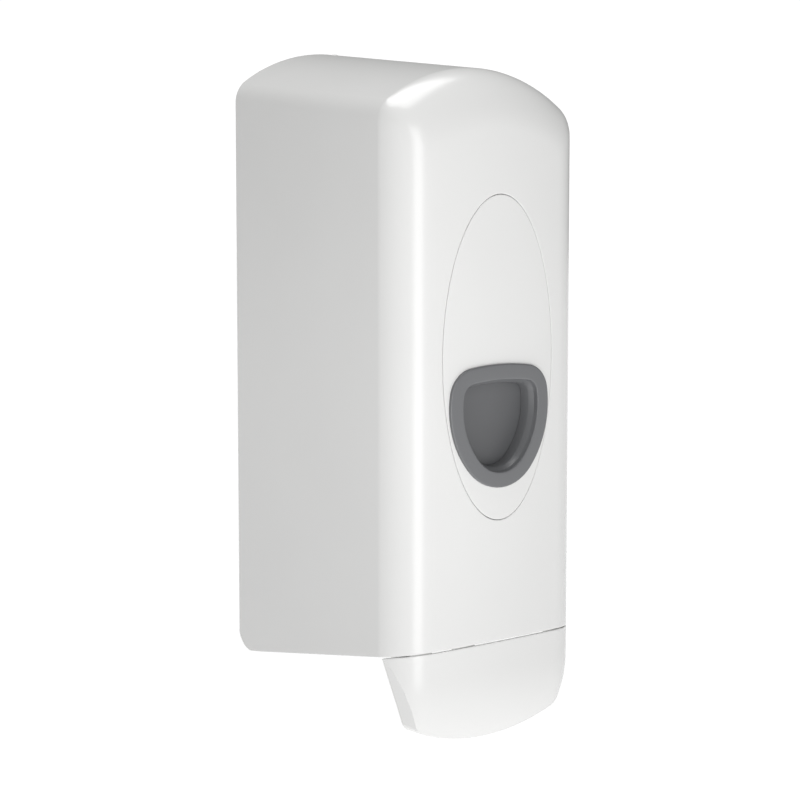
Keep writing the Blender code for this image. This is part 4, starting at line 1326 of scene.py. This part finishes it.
class DISPENSER_OT_metal(DispenserOperator, bpy.types.Operator):
    """Hinge pins, lever pins, the lid's pin and the two shelf screws"""

    bl_idname = "dispenser.metal"
    bl_label = "Pins and screws"

    def build(self, context):
        steel = "drawn_stainless_steel"
        for side, label in ((-1, "left"), (1, "right")):
            for kind, y, z, inner in (("hinge", HINGE_Y, HINGE_Z, 40.8), ("lever", PIVOT_Y, PIVOT_Z, 39.0)):
                profile = ((0, side * inner), (2.4, side * inner), (2.4, side * 48.6), (0, side * 48.6))
                name = f"{kind}_pin_{label}"
                turned_piece(f"{name}_rod", profile, (0, y, z), steel, "cover", name, 0.4, 48, "X")
            self.screw(side, label)
        profile = ((0, -24.0), (1.2, -24.0), (1.2, 24.0), (0, 24.0))
        centre = (0, LID_HINGE_Y, LID_HINGE_Z)
        turned_piece("lid_pin_rod", profile, centre, steel, "back", "lid_hinge_pin", 0.3, 32, "X")

    @staticmethod
    def screw(side, label):
        """A pan-head screw driven upwards, with a cross recess in its head and a rolled thread."""
        centre = (side * 28.0, -6.5, 0)
        bm = bmesh.new()
        profile = [(0, -90.9), (1.9, -90.7), (2.8, -90.2), (3.0, -89.6), (3.0, -89.3), (1.2, -89.3)]
        z = -88.6
        while z < -82.8:
            profile += [(1.1, z), (1.45, z + 0.35), (1.1, z + 0.7)]
            z += 0.9
        profile += [(0.9, -82.2), (0, -81.2)]
        turned(bm, profile, centre, "Z", 0.15, 32)
        head = solid_from(bm, f"screw_{label}_scratch")
        cross = bmesh.new()
        for half, deep in ((1.8, 0.35), (0.35, 1.8)):
            outline = [(-half, -deep), (half, -deep), (half, deep), (-half, deep)]
            outline = [(a + centre[0], b + centre[1]) for a, b in outline]
            start = bmesh.new()
            slab(start, outline, -92.0, -89.9, "Z", 0.1)
            mesh = bpy.data.meshes.new("recess")
            start.to_mesh(mesh)
            start.free()
            cross.from_mesh(mesh)
            bpy.data.meshes.remove(mesh)
        cutter = solid_from(cross, f"recess_{label}")
        step = head.modifiers.new("Recess", "BOOLEAN")
        step.operation = "DIFFERENCE"
        step.solver = "EXACT"
        step.use_self = True
        step.object = cutter
        whole = evaluated_bmesh(head)
        bpy.data.objects.remove(cutter)
        name = f"shelf_screw_{label}"
        put(f"{name}_turned", whole, "drawn_stainless_steel", "back", (name,), 38.0)


class DISPENSER_OT_latch(DispenserOperator, bpy.types.Operator):
    """Latch button with its head in the top of the housing, and its spring"""

    bl_idname = "dispenser.latch"
    bl_label = "Latch"

    def build(self, context):
        profile = ((0, 136.75), (1.3, 136.6), (2.0, 135.9), (2.0, 128.5), (2.8, 128.5), (2.8, 126.5))
        profile += ((1.6, 126.5), (1.6, 108.5), (0, 107.9))
        centre = (0, LATCH_Y, 0)
        white = "white_moulded_abs"
        turned_piece("latch_button_moulding", profile, centre, white, "latch", "latch_button", 0.35, 64)
        coil, wire, foot, collar = 2.2, 0.28, 113.3, 126.2
        make_spring(
            "latch_spring_wire", "latch_spring", 8, coil, wire, foot, collar, centre
        )


# ---------------------------------------------------------------- studio


def area_light(name, place, aim, size, power, colour=(1.0, 1.0, 1.0)):
    light = bpy.data.lights.new(name, "AREA")
    light.shape = "RECTANGLE"
    light.size, light.size_y = size
    light.energy = power
    light.color = colour
    lamp = bpy.data.objects.new(name, light)
    lamp.location = place
    lamp.rotation_euler = (Vector(aim) - Vector(place)).to_track_quat("-Z", "Y").to_euler()
    bpy.context.scene.collection.objects.link(lamp)
    return lamp


class DISPENSER_OT_stage(DispenserOperator, bpy.types.Operator):
    """Camera, plain pale floor, white surround and soft studio lights"""

    bl_idname = "dispenser.stage"
    bl_label = "Studio"

    def build(self, context):
        camera = bpy.data.cameras.new("studio_camera")
        camera.lens = 80.6
        camera.sensor_width = 36.0
        camera.shift_y = -0.06
        camera.clip_start, camera.clip_end = 0.01, 100.0
        mount = bpy.data.objects.new("studio_camera", camera)
        mount.location = (-0.4895, -0.6847, 0.0678)
        mount.rotation_euler = (radians(90 - 4.721), 0.0, radians(-37.891))
        context.scene.collection.objects.link(mount)
        context.scene.camera = mount

        bm = bmesh.new()
        bmesh.ops.create_grid(bm, x_segments=1, y_segments=1, size=30.0)
        mesh = bpy.data.meshes.new("studio_floor")
        bm.to_mesh(mesh)
        bm.free()
        floor = bpy.data.objects.new("studio_floor", mesh)
        floor.location = (0.0, 0.0, -1.0)
        context.scene.collection.objects.link(floor)
        made, tree, shader, _ = new_finish("matt_white_floor", colours().floor[:], Roughness=0.9)
        shader.inputs["Emission Color"].default_value = (1.0, 1.0, 1.0, 1.0)
        shader.inputs["Emission Strength"].default_value = 0.95
        mesh.materials.append(made)

        world = bpy.data.worlds.new("studio_surround")
        world.use_nodes = True
        tree = world.node_tree
        tree.nodes.clear()
        ray = add(tree, "ShaderNodeLightPath")
        seen = add(tree, "ShaderNodeBackground", {"Color": (1.0, 1.0, 1.0, 1.0), "Strength": 1.05})
        lighting = add(tree, "ShaderNodeBackground", {"Color": (1.0, 1.0, 1.0, 1.0), "Strength": 0.07})
        mixed = add(
            tree,
            "ShaderNodeMixShader",
            links={0: ray.outputs["Is Camera Ray"], 1: lighting.outputs[0], 2: seen.outputs[0]},
        )
        add(tree, "ShaderNodeOutputWorld", links={"Surface": mixed.outputs[0]})
        context.scene.world = world
        context.scene.view_settings.view_transform = "Standard"
        area_light("front_softbox", (-0.16, -0.47, 0.0), (-0.03, -0.12, -0.02), (0.16, 0.5), 0.95)
        area_light("overhead_softbox", (-0.1, 0.05, 1.3), (0.0, -0.06, 0.0), (1.0, 1.0), 15.5)


class DISPENSER_PT_pieces(bpy.types.Panel):
    """Lists the dispenser's pieces and their values"""

    bl_idname = "DISPENSER_PT_pieces"
    bl_label = "Soap dispenser"
    bl_space_type = "VIEW_3D"
    bl_region_type = "UI"
    bl_category = "Dispenser"

    def draw(self, context):
        layout = self.layout
        for group in (sizes(), colours()):
            box = layout.box()
            for key in group.bl_rna.properties.keys():
                if key not in ("rna_type", "name"):
                    box.prop(group, key)
        for operator in PIECE_OPERATORS:
            layout.operator(operator.bl_idname)


PIECE_OPERATORS = (
    DISPENSER_OT_stage,
    DISPENSER_OT_back_plate,
    DISPENSER_OT_reservoir,
    DISPENSER_OT_pump,
    DISPENSER_OT_metal,
    DISPENSER_OT_latch,
    DISPENSER_OT_cover,
    DISPENSER_OT_oval_panel,
    DISPENSER_OT_window,
    DISPENSER_OT_lever,
)
CLASSES = (DispenserSizes, DispenserColours, *PIECE_OPERATORS, DISPENSER_PT_pieces)


def register():
    for cls in CLASSES:
        bpy.utils.register_class(cls)
    bpy.types.Scene.dispenser_sizes = bpy.props.PointerProperty(type=DispenserSizes)
    bpy.types.Scene.dispenser_colours = bpy.props.PointerProperty(type=DispenserColours)


def unregister():
    del bpy.types.Scene.dispenser_colours
    del bpy.types.Scene.dispenser_sizes
    for cls in reversed(CLASSES):
        bpy.utils.unregister_class(cls)


def main():
    register()
    for operator in PIECE_OPERATORS:
        group, name = operator.bl_idname.split(".")
        getattr(getattr(bpy.ops, group), name)()


if __name__ == "__main__":
    main()
